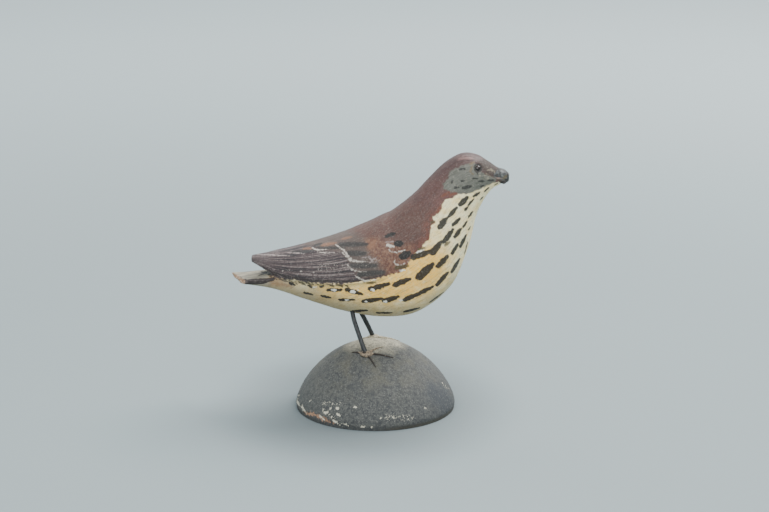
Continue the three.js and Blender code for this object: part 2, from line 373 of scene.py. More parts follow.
def plain_mesh(made):
    """Turns an object's modifiers into its mesh."""
    graph = bpy.context.evaluated_depsgraph_get()
    result = bpy.data.meshes.new_from_object(made.evaluated_get(graph))
    made.modifiers.clear()
    made.data = result
    result.name = made.name
    return made


def voxel_union(made, voxel):
    """Fuses the closed shells of an object into one even skin."""
    fuse = made.modifiers.new("fuse", "REMESH")
    fuse.mode = "VOXEL"
    fuse.voxel_size = voxel * MM
    plain_mesh(made)
    shade_smooth(made)
    return made


class Surface:
    """A fine mesh's points (mm), with its normals and a tree for casting pixels on it."""

    def __init__(self, made):
        self.mesh = made.data
        self.points = self.read("vertices", "co") / MM
        self.normals = self.read("vertices", "normal")
        self.edges = self.read("edges", "vertices", 2, int)
        self.renew_tree()

    def read(self, part, field, width=3, kind=float):
        """One field of the mesh's points or edges as rows of numbers."""
        rows = getattr(self.mesh, part)
        values = np.zeros(len(rows) * width, kind)
        rows.foreach_get(field, values)
        return values.reshape(-1, width)

    def renew_tree(self):
        """Fits the tree for casting pixels to the points as they are now."""
        faces = [tuple(p.vertices) for p in self.mesh.polygons]
        self.tree = BVHTree.FromPolygons(self.points.tolist(), faces)

    def move(self, points):
        """Sets the mesh's points and reads its new normals."""
        self.points = points
        self.mesh.vertices.foreach_set("co", (points * MM).ravel())
        self.mesh.update()
        self.normals = self.read("vertices", "normal")

    def sink(self, depth):
        """Moves the points in along their normals."""
        self.move(self.points - self.normals * depth[:, None])

    def neighbour_mean(self, values):
        """Mean of each point's neighbours along the edges."""
        values = values.reshape(len(values), -1)
        a, b = self.edges.T
        count = np.bincount(np.concatenate([a, b]), minlength=len(values))
        mean = np.zeros_like(values)
        for k in range(values.shape[1]):
            total = np.bincount(a, values[b, k], len(values)) + np.bincount(b, values[a, k], len(values))
            mean[:, k] = total / np.maximum(count, 1)
        return mean

    def soften(self, rounds):
        """Evens out the remeshing steps without shrinking the form."""
        points = self.points
        for _ in range(rounds):
            points = points + SOFTEN_IN * (self.neighbour_mean(points) - points)
            points = points - SOFTEN_OUT * (self.neighbour_mean(points) - points)
        self.move(points)

    def melt(self, share, rounds):
        """Runs steps in the surface together where the share is above zero."""
        points = self.points
        for _ in range(rounds):
            points = points + share[:, None] * (self.neighbour_mean(points) - points)
        self.move(points)

    def ridges(self):
        """How far each point stands out of its surroundings, in millimetres: edges are above zero."""
        even = self.neighbour_mean(self.neighbour_mean(self.points))
        return ((self.points - even) * self.normals).sum(-1)

    def under_pixel(self, px, py):
        """Point of the surface under a pixel, or the nearest one where the pixel misses it."""
        start = Vector(VIEW.place)
        ray = Vector(VIEW.ray(px, py))
        hit = self.tree.ray_cast(start, ray)[0]
        if hit is not None:
            return np.array(hit)
        reaches = CAMERA_DISTANCE + np.arange(-MISS_REACH, MISS_REACH, MISS_STEP)
        tries = [self.tree.find_nearest(start + ray * reach) for reach in reaches]
        return np.array(min(tries, key=lambda found: found[3])[0])

    def trail(self, route, radii):
        """A brush trail on the surface: points along a route of pixels, with its half widths in mm."""
        route = np.asarray(route, float)
        lengths = np.linalg.norm(np.diff(route, axis=0), axis=1)
        along = np.concatenate([[0], np.cumsum(lengths)])
        count = int(along[-1] / TRAIL_STEP) + 2
        places = np.linspace(0, along[-1], count)
        xs = np.interp(places, along, route[:, 0])
        ys = np.interp(places, along, route[:, 1])
        widths = np.interp(places, along, radii) * VIEW.mm_per_pixel
        points = np.array([self.under_pixel(x, y) for x, y in zip(xs, ys)])
        rays = [Vector(VIEW.ray(x, y)) for x, y in zip(xs, ys)]
        facing = [abs(self.tree.find_nearest(Vector(p))[1].dot(ray)) for p, ray in zip(points, rays)]
        return points, widths / np.maximum(facing, TURNED_AWAY) ** TURNED_POWER

    def other_side(self, trail, draws, drift):
        """The same trail on the bird's left side, a little displaced, wider or finer."""
        points, widths = trail
        shift = draws.normal(0, drift, 3) * (1, 0.3, 1)
        moved = points * (1, -1, 1) + shift
        snapped = np.array([self.tree.find_nearest(Vector(p))[0] for p in moved])
        return snapped, widths * draws.uniform(*FAR_SIDE_WIDTHS)

    def brush(self, trails):
        """Field of how deep each point lies inside the trails, in mm; below zero is outside."""
        field = np.full(len(self.points), -FAR)
        for points, widths in trails:
            for a, b, ra, rb in zip(points[:-1], points[1:], widths[:-1], widths[1:]):
                margin = max(ra, rb) + 1.0
                low = np.minimum(a, b) - margin
                high = np.maximum(a, b) + margin
                near = np.flatnonzero(((self.points > low) & (self.points < high)).all(-1))
                if not len(near):
                    continue
                span = b - a
                length = max(span @ span, 1e-9)
                share = np.clip(((self.points[near] - a) @ span) / length, 0, 1)
                gap = np.linalg.norm(self.points[near] - a - share[:, None] * span, axis=1)
                field[near] = np.maximum(field[near], ra + (rb - ra) * share - gap)
        return field

    def outline_field(self, outline):
        """Distance in mm inside a closed outline of pixels, read on both sides of the bird."""
        pixels = VIEW.pixels(laid_on(self.points, -1))
        corners = np.asarray(outline, float)
        gap = np.full(len(pixels), 1e9)
        inside = np.zeros(len(pixels), bool)
        for a, b in zip(corners, np.roll(corners, -1, axis=0)):
            span = b - a
            share = np.clip(((pixels - a) @ span) / (span @ span), 0, 1)
            gap = np.minimum(gap, np.linalg.norm(pixels - a - share[:, None] * span, axis=1))
            crosses = (a[1] > pixels[:, 1]) != (b[1] > pixels[:, 1])
            rise = np.where(b[1] == a[1], 1e-9, b[1] - a[1])
            reach = a[0] + (pixels[:, 1] - a[1]) * (b[0] - a[0]) / rise
            inside ^= crosses & (pixels[:, 0] < reach)
        signed = np.where(inside, gap, -gap) * VIEW.mm_per_pixel
        return np.clip(signed, -FAR, FAR)

    def store(self, name, values):
        """Keeps a number or a vector for each point as an attribute of the mesh."""
        wide = values.ndim > 1
        layer = self.mesh.attributes.new(name, "FLOAT_VECTOR" if wide else "FLOAT", "POINT")
        layer.data.foreach_set("vector" if wide else "value", values.astype(np.float32).ravel())


# Painted marks, read off the photo's frame in pixels. A dab is a box (left, top, right,
# bottom), its half width, and 1 where it rises to the right, -1 where it falls, 0 where it is level
BREAST_DABS = [
    (494.3, 182.7, 498.6, 185.5, 0.7, 1), (484.4, 187.3, 489.3, 191.7, 1.0, 1),
    (473.1, 192.4, 480.0, 197.5, 1.4, 1), (479.9, 196.5, 483.6, 200.2, 0.6, 1),
    (458.3, 197.0, 467.9, 207.0, 2.5, 1), (468.1, 198.8, 474.4, 205.3, 1.0, 1),
    (464.2, 207.0, 468.3, 210.9, 1.3, 1), (447.8, 207.3, 457.5, 217.8, 2.1, 1),
    (468.0, 211.4, 473.2, 217.8, 1.0, 1), (437.5, 218.4, 446.4, 229.8, 3.1, 1),
    (451.9, 218.0, 460.6, 226.3, 1.7, 1), (462.5, 220.8, 467.9, 227.6, 1.2, 1),
    (453.6, 228.3, 461.6, 238.5, 2.0, 1), (468.2, 226.6, 471.0, 230.2, 0.8, 1),
    (442.0, 229.8, 453.4, 244.0, 2.8, 1), (459.2, 235.5, 466.4, 247.8, 1.9, 1),
    (430.5, 241.8, 441.4, 255.8, 3.2, 1), (450.9, 243.9, 458.3, 254.8, 1.9, 1),
    (464.0, 242.0, 468.2, 254.0, 1.0, 1), (410.7, 250.8, 431.3, 260.4, 3.2, 1),
    (436.2, 255.9, 448.2, 268.8, 2.7, 1), (450.9, 259.5, 459.8, 272.9, 2.1, 1),
    (416.1, 263.9, 433.0, 280.9, 4.0, 1), (435.7, 272.4, 448.2, 286.7, 2.3, 1),
    (429.9, 292.1, 443.8, 302.8, 1.3, 1), (404.5, 307.7, 419.6, 313.0, 1.5, 1),
]
FLANK_DABS = [
    (392.7, 278.6, 410.3, 287.7, 2.7, 1), (368.3, 283.1, 389.7, 291.6, 2.5, 1),
    (345.3, 287.7, 362.9, 294.6, 2.1, -1), (326.8, 287.7, 342.0, 292.3, 1.6, 0),
    (319.5, 285.4, 324.2, 288.2, 1.2, 1), (307.6, 285.0, 314.0, 288.4, 0.9, -1),
    (288.9, 282.0, 295.4, 285.4, 1.3, -1), (414.0, 286.5, 433.0, 297.6, 2.3, 1),
    (402.7, 293.6, 418.4, 302.3, 2.5, 1), (382.8, 296.2, 398.9, 303.4, 2.6, 1),
    (362.1, 298.5, 382.8, 303.4, 2.2, 1), (339.2, 298.0, 355.2, 301.6, 1.4, 0),
    (321.0, 294.8, 331.4, 298.2, 1.2, -1), (303.0, 291.4, 313.2, 295.2, 1.1, -1),
    (350.7, 309.8, 367.5, 312.8, 1.4, 1), (376.7, 311.4, 392.0, 314.4, 1.3, 0),
]
CHEEK_DABS = [
    (462.4, 185.6, 472.0, 189.6, 1.5, 1), (454.4, 186.6, 459.2, 188.6, 0.8, 1),
    (451.0, 180.2, 453.6, 183.4, 0.8, 1), (461.0, 180.0, 464.4, 182.0, 0.8, 0),
    (459.4, 168.3, 465.6, 170.2, 0.9, 1), (472.8, 177.8, 478.4, 179.0, 0.6, 0),
    (478.2, 180.6, 485.0, 181.8, 0.7, 0), (487.6, 179.8, 494.2, 181.0, 0.6, 0),
    (480.0, 185.0, 484.4, 187.2, 0.7, 1),
]
OLIVE_DABS = [
    (430.3, 220.8, 435.0, 223.8, 1.2, 1), (417.4, 247.4, 425.0, 251.0, 1.3, 1),
    (444.6, 241.2, 450.2, 246.5, 1.4, 1), (395.0, 265.4, 408.8, 269.6, 1.8, 1),
    (367.0, 281.0, 376.4, 284.2, 1.3, 0),
]
WHITE_DABS = [
    (370.8, 288.0, 374.6, 291.4, 1.4, -1), (350.0, 289.6, 355.4, 294.0, 2.0, 0),
    (357.4, 289.6, 359.6, 291.4, 0.9, 0), (331.4, 288.6, 336.2, 291.6, 1.5, 0),
    (312.4, 286.6, 317.6, 288.4, 1.0, 0), (383.6, 300.0, 387.4, 303.0, 1.3, 0),
    (399.4, 299.2, 402.8, 301.6, 1.1, 0), (364.2, 300.4, 368.0, 302.8, 1.0, 0),
    (344.8, 299.0, 348.8, 301.0, 1.0, 0), (399.0, 269.8, 405.6, 272.0, 1.1, 1),
    (386.0, 243.6, 394.2, 247.2, 1.7, -1), (415.8, 249.8, 424.2, 253.2, 1.0, 1),
]
DUSKY_DABS = [
    (338.8, 241.6, 367.5, 247.0, 2.2, 0), (346.0, 250.6, 366.0, 256.2, 2.5, 0),
    (350.0, 262.6, 376.7, 268.6, 2.5, 0), (357.0, 271.6, 385.0, 277.2, 2.6, 1),
    (292.0, 250.0, 314.0, 253.2, 1.2, 1), (314.0, 243.4, 322.0, 247.0, 1.4, 1),
    (317.0, 246.0, 346.0, 249.6, 1.0, 0),
]
SHOULDER_DABS = [
    (385.3, 232.8, 395.6, 238.0, 1.9, 1), (394.4, 240.4, 402.6, 246.8, 2.9, 0),
    (399.4, 252.4, 409.4, 260.2, 3.7, 1),
]
ORANGE_DABS = [
    (302.8, 247.2, 312.4, 249.8, 1.3, 0), (321.5, 242.6, 336.0, 246.6, 1.7, 1),
    (342.0, 236.6, 352.0, 239.6, 1.1, 1), (368.0, 240.4, 376.0, 250.0, 2.6, 1),
]

# Brush lines: a route of pixels, then the half width at its start, widest and end
WHITE_LINES = [
    ([(335.8, 244.6), (339.0, 247.3), (343.6, 250.0), (347.4, 254.6), (351.0, 259.6)], (0.35, 0.7, 0.9)),
    ([(341.6, 251.4), (345.4, 255.6), (349.6, 260.2)], (0.3, 0.5, 0.6)),
    ([(350.6, 260.2), (356.0, 261.2), (364.0, 261.9)], (1.0, 1.0, 0.3)),
    ([(346.6, 263.8), (350.6, 268.6), (356.6, 271.3), (366.0, 271.8)], (0.4, 0.9, 0.3)),
    ([(353.8, 274.0), (358.8, 278.4), (365.4, 280.9), (376.0, 279.9)], (0.4, 0.9, 0.3)),
    ([(312.4, 247.8), (316.8, 249.8), (327.6, 249.6)], (0.4, 0.7, 0.2)),
    ([(316.8, 252.0), (326.0, 252.8), (336.0, 252.4)], (0.2, 0.45, 0.2)),
    ([(388.6, 249.6), (391.4, 251.6), (396.5, 252.4), (404.8, 250.2)], (0.4, 0.8, 0.4)),
    ([(395.0, 260.0), (394.0, 262.4), (396.6, 264.5), (401.6, 265.0), (408.4, 261.9)], (0.5, 0.8, 0.3)),
]
PALE_LINES = [
    ([(258.0, 254.4), (272.0, 255.0), (289.4, 255.8)], (0.3, 0.7, 0.3)),
    ([(287.6, 252.6), (296.0, 252.9), (304.5, 253.8)], (0.3, 0.6, 0.3)),
    ([(368.6, 257.2), (372.0, 260.4), (375.8, 258.0)], (0.5, 0.8, 0.4)),
    ([(369.6, 262.6), (373.0, 261.4), (376.6, 262.0)], (0.4, 0.6, 0.4)),
    ([(361.0, 258.2), (370.0, 256.4)], (0.3, 0.4)),
    ([(386.0, 242.2), (393.0, 241.6)], (0.5, 0.5)),
]
# Painted glints of gloss on the wing
GLINT_DABS = [
    (316.0, 262.0, 349.0, 272.0, 4.6, 0), (352.0, 263.0, 368.0, 267.6, 2.2, 0),
    (362.0, 256.6, 378.0, 262.8, 2.8, 0),
]
# Painted highlights: small spots of gloss along the wing
GLOSS_HIGHLIGHT_DABS = [
    (281.8, 270.2, 283.8, 271.8, 0.7, 0), (300.0, 270.6, 302.8, 272.2, 0.7, 0),
    (312.6, 271.6, 314.8, 273.0, 0.6, 0), (289.0, 269.4, 290.4, 270.6, 0.5, 0),
]
TAIL_ROOT_DASHES = [
    (273.2, 272.8, 274.8, 276.6, 0.5, 1), (275.8, 273.4, 277.2, 277.6, 0.5, 1),
    (278.6, 274.6, 279.8, 278.2, 0.5, 1),
]
RUSTY_DABS = [
    (260.0, 278.0, 291.0, 286.0, 3.4, -1),
    (266.0, 275.0, 282.0, 281.0, 2.4, -1),
]
# A painted highlight on the crown, then dark arcs over the crown as brush lines
CROWN_HIGHLIGHT_DABS = [(458.6, 155.4, 472.6, 159.8, 1.7, 0)]
CROWN_LINES = [
    ([(446.0, 169.4), (455.0, 162.6), (465.0, 160.2), (474.0, 160.8), (480.0, 164.6)], (0.25, 0.5, 0.25)),
    ([(450.0, 163.6), (459.0, 157.6), (469.0, 156.0), (478.0, 158.8), (484.0, 163.4)], (0.25, 0.45, 0.25)),
    ([(455.6, 159.4), (463.0, 154.8), (472.0, 154.4), (480.6, 157.8)], (0.2, 0.4, 0.2)),
    ([(484.0, 161.6), (489.6, 165.6), (495.0, 168.8)], (0.2, 0.45, 0.2)),
]
EYE_OCHRE_DABS = [
    (469.8, 161.6, 474.6, 165.4, 1.0, 1), (469.6, 165.6, 473.0, 172.4, 0.9, 1),
    (471.0, 172.0, 474.0, 175.0, 0.7, -1),
]
EYE_NOTCH_DABS = [(475.6, 171.4, 478.6, 174.6, 0.8, -1)]
FLECK_DABS = [
    (477.0, 171.6, 491.0, 178.4, 2.8, -1),
    (486.0, 167.0, 496.0, 173.0, 1.6, -1),
]
JAW_DABS = [(496.2, 179.2, 504.0, 183.4, 1.5, -1)]
# A painted highlight on the bill's top
BILL_HIGHLIGHT_DABS = [(498.2, 169.8, 504.0, 174.4, 1.4, 1), (500.0, 174.6, 504.4, 177.0, 0.9, 0)]
BILL_OLIVE_DABS = [(502.8, 175.4, 507.2, 179.6, 1.5, 1)]
BILL_EDGE_DABS = [
    (499.6, 181.4, 506.8, 184.4, 1.3, 1), (506.6, 171.6, 509.4, 181.6, 1.0, -1),
    (503.6, 179.2, 508.6, 182.0, 1.0, 1),
]
BORDER_DABS = [
    (441.0, 191.8, 450.0, 197.6, 1.3, 1), (449.0, 191.4, 460.0, 196.6, 1.4, 1),
    (436.6, 205.4, 442.4, 213.0, 1.8, 1), (430.4, 218.0, 435.6, 229.0, 1.7, 1),
    (425.4, 234.0, 431.0, 243.4, 1.6, 1),
]
RIM_LINE = [
    (262.0, 266.2), (270.0, 271.0), (286.0, 276.6), (310.0, 280.4), (341.0, 281.6), (356.0, 281.0),
    (372.0, 277.6), (386.0, 274.2),
]
GAPE_LINE = [
    (495.4, 177.6), (499.4, 178.1), (503.2, 178.8), (506.8, 179.6),
]
GAPE_PAINT = [
    (495.6, 177.9), (499.0, 178.2), (502.4, 178.8),
]

# The fringe: how many strokes, the ranges of their length, lean and half width, and the line they
# hang from
FRINGE_COUNT = 40
FRINGE_LENGTHS = (2.0, 6.0)
FRINGE_LEANS = (0.3, 1.0)
FRINGE_HALVES = (0.5, 1.25)
FRINGE_LINE = [
    (262.0, 270.6), (272.0, 276.4), (286.0, 280.4), (300.0, 281.8), (320.0, 283.6), (346.0, 285.4),
]

# Areas of paint: the field they are kept in, and a closed outline of pixels
PAINTED_AREAS = {
    "brown": [
        (215, 272), (262, 272.4), (270, 275.8), (276, 277.4), (288, 279.4), (308, 282), (328, 283.6),
        (345, 283.8), (366, 281.2), (386, 275.8), (399, 272.2), (408, 266.5), (410.7, 258.6),
        (414.8, 254), (420, 249), (425.4, 242.6), (430, 238), (430.6, 231), (430.6, 226),
        (434.6, 222.6), (433.6, 217.4), (438.4, 213), (442.4, 208.6), (440.8, 203.8), (447.2, 199.4),
        (453, 197.4), (459.6, 192.8), (461.6, 193.4), (468.8, 193), (477.7, 189.4), (485.7, 185.8),
        (494.6, 181.8), (500, 182), (530, 182), (530, 110), (215, 110),
    ],
    "cheek": [
        (497.0, 178.4), (495.2, 182.0), (485.9, 186.4), (478.2, 190.0), (469.4, 193.4), (460.0, 193.4),
        (450.3, 191.4), (443.4, 188.4), (443.4, 183.2), (448.2, 178.6), (449.4, 171.8), (456.8, 168.0),
        (465.6, 164.4), (472.8, 163.0), (477.0, 164.6), (481.0, 170.6), (486.0, 175.2), (492.5, 177.2),
    ],
    "forehead": [
        (477.0, 162.0), (484.0, 158.5), (492.0, 160.0), (500.0, 164.0), (500.0, 176.0), (497.0, 179.0),
        (486.0, 174.5), (481.0, 168.0),
    ],
    "bill": [
        (499.0, 166.0), (496.4, 171.0), (493.6, 174.6), (494.4, 177.2), (496.0, 179.0), (498.8, 181.4),
        (501.2, 184.8), (516.0, 190.0), (516.0, 160.0),
    ],
    "primaries": [
        (244, 258), (262, 249.6), (280, 245.6), (300, 243.4), (318, 247.6), (342, 252), (349, 262),
        (357, 274), (366, 280), (352, 286), (300, 285), (262, 274),
    ],
    "tertials": [
        (300, 246), (318, 236), (345, 228), (366, 238), (372, 252), (384, 264), (392, 276), (364, 284),
        (346, 262), (336, 254),
    ],
    "rufous": [
        (364, 240), (372, 236), (386, 240), (398, 244), (412, 244), (412, 258), (399, 272), (386, 277),
        (382, 270), (378, 262), (370, 256),
    ],
    "golden": [
        (388, 266), (404, 254), (430, 246), (447, 254), (444, 280), (424, 298), (388, 305), (322, 297),
        (314, 288), (346, 287), (376, 283),
    ],
    "grey_belly": [
        (262, 272), (300, 286), (345, 300), (384, 307), (420, 304), (446, 288), (470, 262), (482, 262),
        (470, 330), (262, 330),
    ],
}

# The tail's own paint: where its beige top ends along X and how far down it reaches, and the dark of
# its sides
TAIL_TOP_END = -29.9
TAIL_TOP_DEPTH = 2.6
TAIL_SIDE_LINES = [([(244.6, 282.2), (252.0, 281.6), (262.0, 281.0), (273.0, 279.2)], (2.4, 3.4, 1.3))]

# All marks: the field they are kept in, their dabs, their lines, and for the copy on the far side a
# seed and how far it drifts in millimetres
PAINTED_MARKS = [
    ("tail_side", [], TAIL_SIDE_LINES, 2, 0.1),
    ("black_marks", BREAST_DABS + FLANK_DABS + SHOULDER_DABS, [], 3, 0.25),
    ("cheek_marks", CHEEK_DABS, [], 4, 0.15),
    ("olive_marks", OLIVE_DABS, [], 5, 0.25),
    ("dusky_marks", DUSKY_DABS, [], 6, 0.25),
    ("orange_marks", ORANGE_DABS, [], 7, 0.25),
    ("white_marks", WHITE_DABS, WHITE_LINES, 8, 0.25),
    ("pale_marks", [], PALE_LINES, 9, 0.25),
    ("rim_marks", [], [(RIM_LINE, (0.4, 1.1, 1.1, 0.4))], 10, 0.0),
    ("gape_marks", [], [(GAPE_PAINT, (0.3, 0.8, 0.3))], 11, 0.0),
    ("wing_glints", GLINT_DABS, [], 13, 0.25),
    ("gloss_highlights", GLOSS_HIGHLIGHT_DABS, [], 14, 0.25),
    ("root_dashes", TAIL_ROOT_DASHES, [], 15, 0.25),
    ("rusty", RUSTY_DABS, [], 16, 0.25),
    ("crown_highlight", CROWN_HIGHLIGHT_DABS, [], 17, 0.25),
    ("crown_lines", [], CROWN_LINES, 18, 0.0),
    ("eye_ochre", EYE_OCHRE_DABS, [], 19, 0.0),
    ("eye_notch", EYE_NOTCH_DABS, [], 20, 0.0),
    ("flecks", FLECK_DABS, [], 21, 0.1),
    ("jaw", JAW_DABS, [], 22, 0.0),
    ("bill_highlight", BILL_HIGHLIGHT_DABS, [], 23, 0.1),
    ("bill_olive", BILL_OLIVE_DABS, [], 24, 0.0),
    ("bill_edge", BILL_EDGE_DABS, [], 25, 0.0),
    ("border_strokes", BORDER_DABS, [], 26, 0.1),
]

# Knife work: how many quills lie across a wing, and depths in millimetres. A rim's groove lies some
# way outside its circle and has a width; a wire's hole lies some way down its route's second stretch;
# the bill's rough end lies between two values of X
QUILL_COUNT = 9.0
GROOVE_DEPTH = 0.09
FACET_DEPTH = 0.09
GRAIN_DEPTH = 0.03
SOCKET_RIM_DEPTH = 0.22
SOCKET_RIM = (0.25, 0.28)
HOLE_RIM_DEPTH = 0.25
HOLE_RIM = (0.2, 0.35)
HOLE_SHARE = 0.15
GAPE_HALF = 0.5
GAPE_DEPTH = 0.16
BILL_BREAK_DEPTH = 0.16
BILL_BREAK = (36.6, 37.4)

# Mean length of body between two stations, which the brush strokes flow along
STATION_LENGTH = 6.5


def dab(left, top, right, bottom, half, rise):
    """A brush dab as a route of pixels and half widths, from its fat end to its fine end."""
    tall = bottom - top
    inset = min(half * 0.8, (right - left) * 0.4)
    start_y = top + tall * (0.5 + 0.5 * rise) - rise * min(half, tall / 2)
    end_y = top + tall * (0.5 - 0.5 * rise) + rise * 0.4
    start = (left + inset, start_y)
    end = (right - 0.6, end_y)
    middle = (start[0] * 0.5 + end[0] * 0.5, start[1] * 0.5 + end[1] * 0.5)
    return [start, middle, end], [half * 0.85, half, half * 0.5]


def fringe(surface):
    """Short ragged strokes that hang from the wing's lower edge."""
    draws = np.random.default_rng(12)
    first_x, last_x = FRINGE_LINE[0][0], FRINGE_LINE[-1][0]
    trails = []
    for share in np.linspace(0, 1, FRINGE_COUNT):
        x = first_x + (last_x - first_x) * share + draws.uniform(-1.2, 1.2)
        y = np.interp(x, *zip(*FRINGE_LINE)) + draws.uniform(-1.0, 1.0)
        length = draws.uniform(*FRINGE_LENGTHS)
        lean = draws.uniform(*FRINGE_LEANS)
        half = draws.uniform(*FRINGE_HALVES)
        route = [(x, y), (x + length * lean, y + length * 0.5)]
        trails.append(surface.trail(route, [half, half * 0.5]))
    trails += [surface.other_side(trail, draws, 0.1) for trail in trails]
    return surface.brush(trails)


def mark_trails(surface, dabs, lines=()):
    """Brush trails of dabs and of lines, whose half widths are spread evenly along their routes."""
    trails = [surface.trail(*dab(*row)) for row in dabs]
    for route, widths in lines:
        shares = np.linspace(0, 1, len(widths))
        trails.append(surface.trail(route, np.interp(np.linspace(0, 1, len(route)), shares, widths)))
    return trails


def paint_marks(surface, dabs, lines, seed, drift):
    """Field of a set of dabs and brush lines on both sides of the bird."""
    draws = np.random.default_rng(seed)
    trails = mark_trails(surface, dabs, lines)
    trails += [surface.other_side(trail, draws, drift) for trail in trails]
    return surface.brush(trails)


def body_places(points):
    """Station number of each point along the body, and how far down its section it lies (0 to 1)."""
    table = body_table()
    stations, rows = fine_rows(table)
    back = rows[:, 0:2]
    span = rows[:, 2:4] - back
    flat = points[:, [0, 2]]
    side = np.empty((len(flat), len(rows)))
    for k, (start, along) in enumerate(zip(back, span)):
        side[:, k] = along[0] * (flat[:, 1] - start[1]) - along[1] * (flat[:, 0] - start[0])
    passed = side > 0
    first = np.clip(len(rows) - 1 - np.argmax(passed[:, ::-1], axis=1), 0, len(rows) - 2)
    near = side[np.arange(len(flat)), first]
    beyond = side[np.arange(len(flat)), first + 1]
    share = np.clip(near / np.where(near == beyond, 1, near - beyond), 0, 1)
    station = stations[first] + share * (stations[1] - stations[0])
    row = through(table, station)
    line = row[:, 2:4] - row[:, 0:2]
    down = ((flat - row[:, 0:2]) * line).sum(-1) / (line**2).sum(-1)
    return station, np.clip(down, 0, 1), row


def wing_places(points):
    """Share of the way from the back line (0) to the wing's edge (1), and height above the edge."""
    table = wing_table()
    stations, rows = fine_rows(table)
    station = np.interp(points[:, 0], rows[:, 0], stations)
    row = through(table, station)
    half_width = row[:, 4]
    out = np.clip(np.abs(points[:, 1]) / half_width, 0, 1)
    quill = np.arcsin(out ** (row[:, 6] / 2)) / (math.pi / 2)
    edge = row[:, 1] + (row[:, 3] - row[:, 1]) * row[:, 5]
    return quill, points[:, 2] - edge


def carve_shell():
    """The smooth forms of body and wings, cut at the tail's break and fused into one skin."""
    body = section_loft(body_table(), BODY_RINGS, BODY_SIDES).reshape(-1, 3)
    slope = (BREAK_LEFT[0] - BREAK_RIGHT[0]) / (BREAK_LEFT[1] - BREAK_RIGHT[1])
    limit = BREAK_RIGHT[0] + slope * (body[:, 1] - BREAK_RIGHT[1])
    body[:, 0] = np.maximum(body[:, 0], limit)
    wings = section_loft(wing_table(), WING_RINGS, WING_SIDES).reshape(-1, 3)
    faces = skin_faces(BODY_RINGS, BODY_SIDES)
    faces += skin_faces(WING_RINGS, WING_SIDES, len(body))
    made = make_object("painted_bird", np.vstack([body, wings]), faces)
    return voxel_union(made, CARVING_VOXEL)


def carve_relief(surface):
    """Knife work in low relief: quills, facets, the gape, eye rims, wire holes and the broken ends."""
    points = surface.points
    quill, above_edge = wing_places(points)
    on_wing = smooth_step(above_edge, -0.3, 0.3) * smooth_step(-points[:, 0], 2.0, 14.0)
    feather = np.abs((quill * QUILL_COUNT + 0.25 * lattice_noise(points, 9.0, 5)) % 1.0 - 0.5) * 2
    groove = smooth_step(feather, 0.72, 1.0) * on_wing * smooth_step(quill, 0.1, 0.25)
    depth = GROOVE_DEPTH * groove + FACET_DEPTH * grit(points, 3.4, 11)
    depth += GRAIN_DEPTH * grit(points * (0.35, 1, 1), 0.8, 12)
    depth += SOCKET_RIM_DEPTH * hollow(eye_distance(points), EYE_RADIUS, *SOCKET_RIM)

    gape = surface.trail(GAPE_LINE, [GAPE_HALF] * len(GAPE_LINE))
    mirrored = (gape[0] * (1, -1, 1), gape[1])
    depth += GAPE_DEPTH * smooth_step(surface.brush([gape, mirrored]), -0.15, 0.12)

    for route in (RIGHT_LEG_ROUTE, LEFT_LEG_ROUTE):
        hole = np.array(route[1]) + (np.array(route[2]) - np.array(route[1])) * HOLE_SHARE
        depth += HOLE_RIM_DEPTH * hollow(np.linalg.norm(points - hole, axis=1), WIRE_RADIUS, *HOLE_RIM)

    bill_end = smooth_step(points[:, 0], *BILL_BREAK)
    surface.sink(depth + bill_end * BILL_BREAK_DEPTH * grit(points, 0.55, 13))

    points = surface.points
    splinter = 0.7 * grit(points * (0.2, 1, 1.6), 0.75, 14) + 0.3 * grit(points * (0.2, 1, 1), 0.3, 15)
    pull = BREAK_ROUGHNESS * splinter * smooth_step(-break_gap(points), -0.55, -0.15)
    surface.move(points + pull[:, None] * (1.0, 0.0, 0.0))


def break_gap(points):
    """Distance in from the tail's break plane, in millimetres."""
    along = np.array([BREAK_LEFT[0] - BREAK_RIGHT[0], BREAK_LEFT[1] - BREAK_RIGHT[1]])
    inward = np.array([along[1], -along[0]]) / np.linalg.norm(along)
    return (points[:, :2] - np.array(BREAK_RIGHT)) @ inward


def paint_bird(surface):
    """Keeps on the mesh where each paint lies, as fields in millimetres that the finish reads."""
    points = surface.points
    station, down, row = body_places(points)
    quill, above_edge = wing_places(points)
    girth = down * np.linalg.norm(row[:, 2:4] - row[:, 0:2], axis=1)
    over_side = points[:, 2] - row[:, 1] + TAIL_TOP_DEPTH
    surface.store("flow", np.stack([station * STATION_LENGTH, girth, points[:, 1] * 0.35], -1))
    surface.store("quill", quill)
    surface.store("above_edge", above_edge)
    surface.store("edges", surface.ridges())
    surface.store("break_gap", break_gap(points))
    surface.store("eye_gap", eye_distance(points))
    surface.store("tail_top", np.minimum(TAIL_TOP_END - points[:, 0], over_side))
    for name, outline in PAINTED_AREAS.items():
        surface.store(name, surface.outline_field(outline))
    for name, dabs, lines, seed, drift in PAINTED_MARKS:
        surface.store(name, paint_marks(surface, dabs, lines, seed, drift))
    surface.store("fringe_marks", fringe(surface))


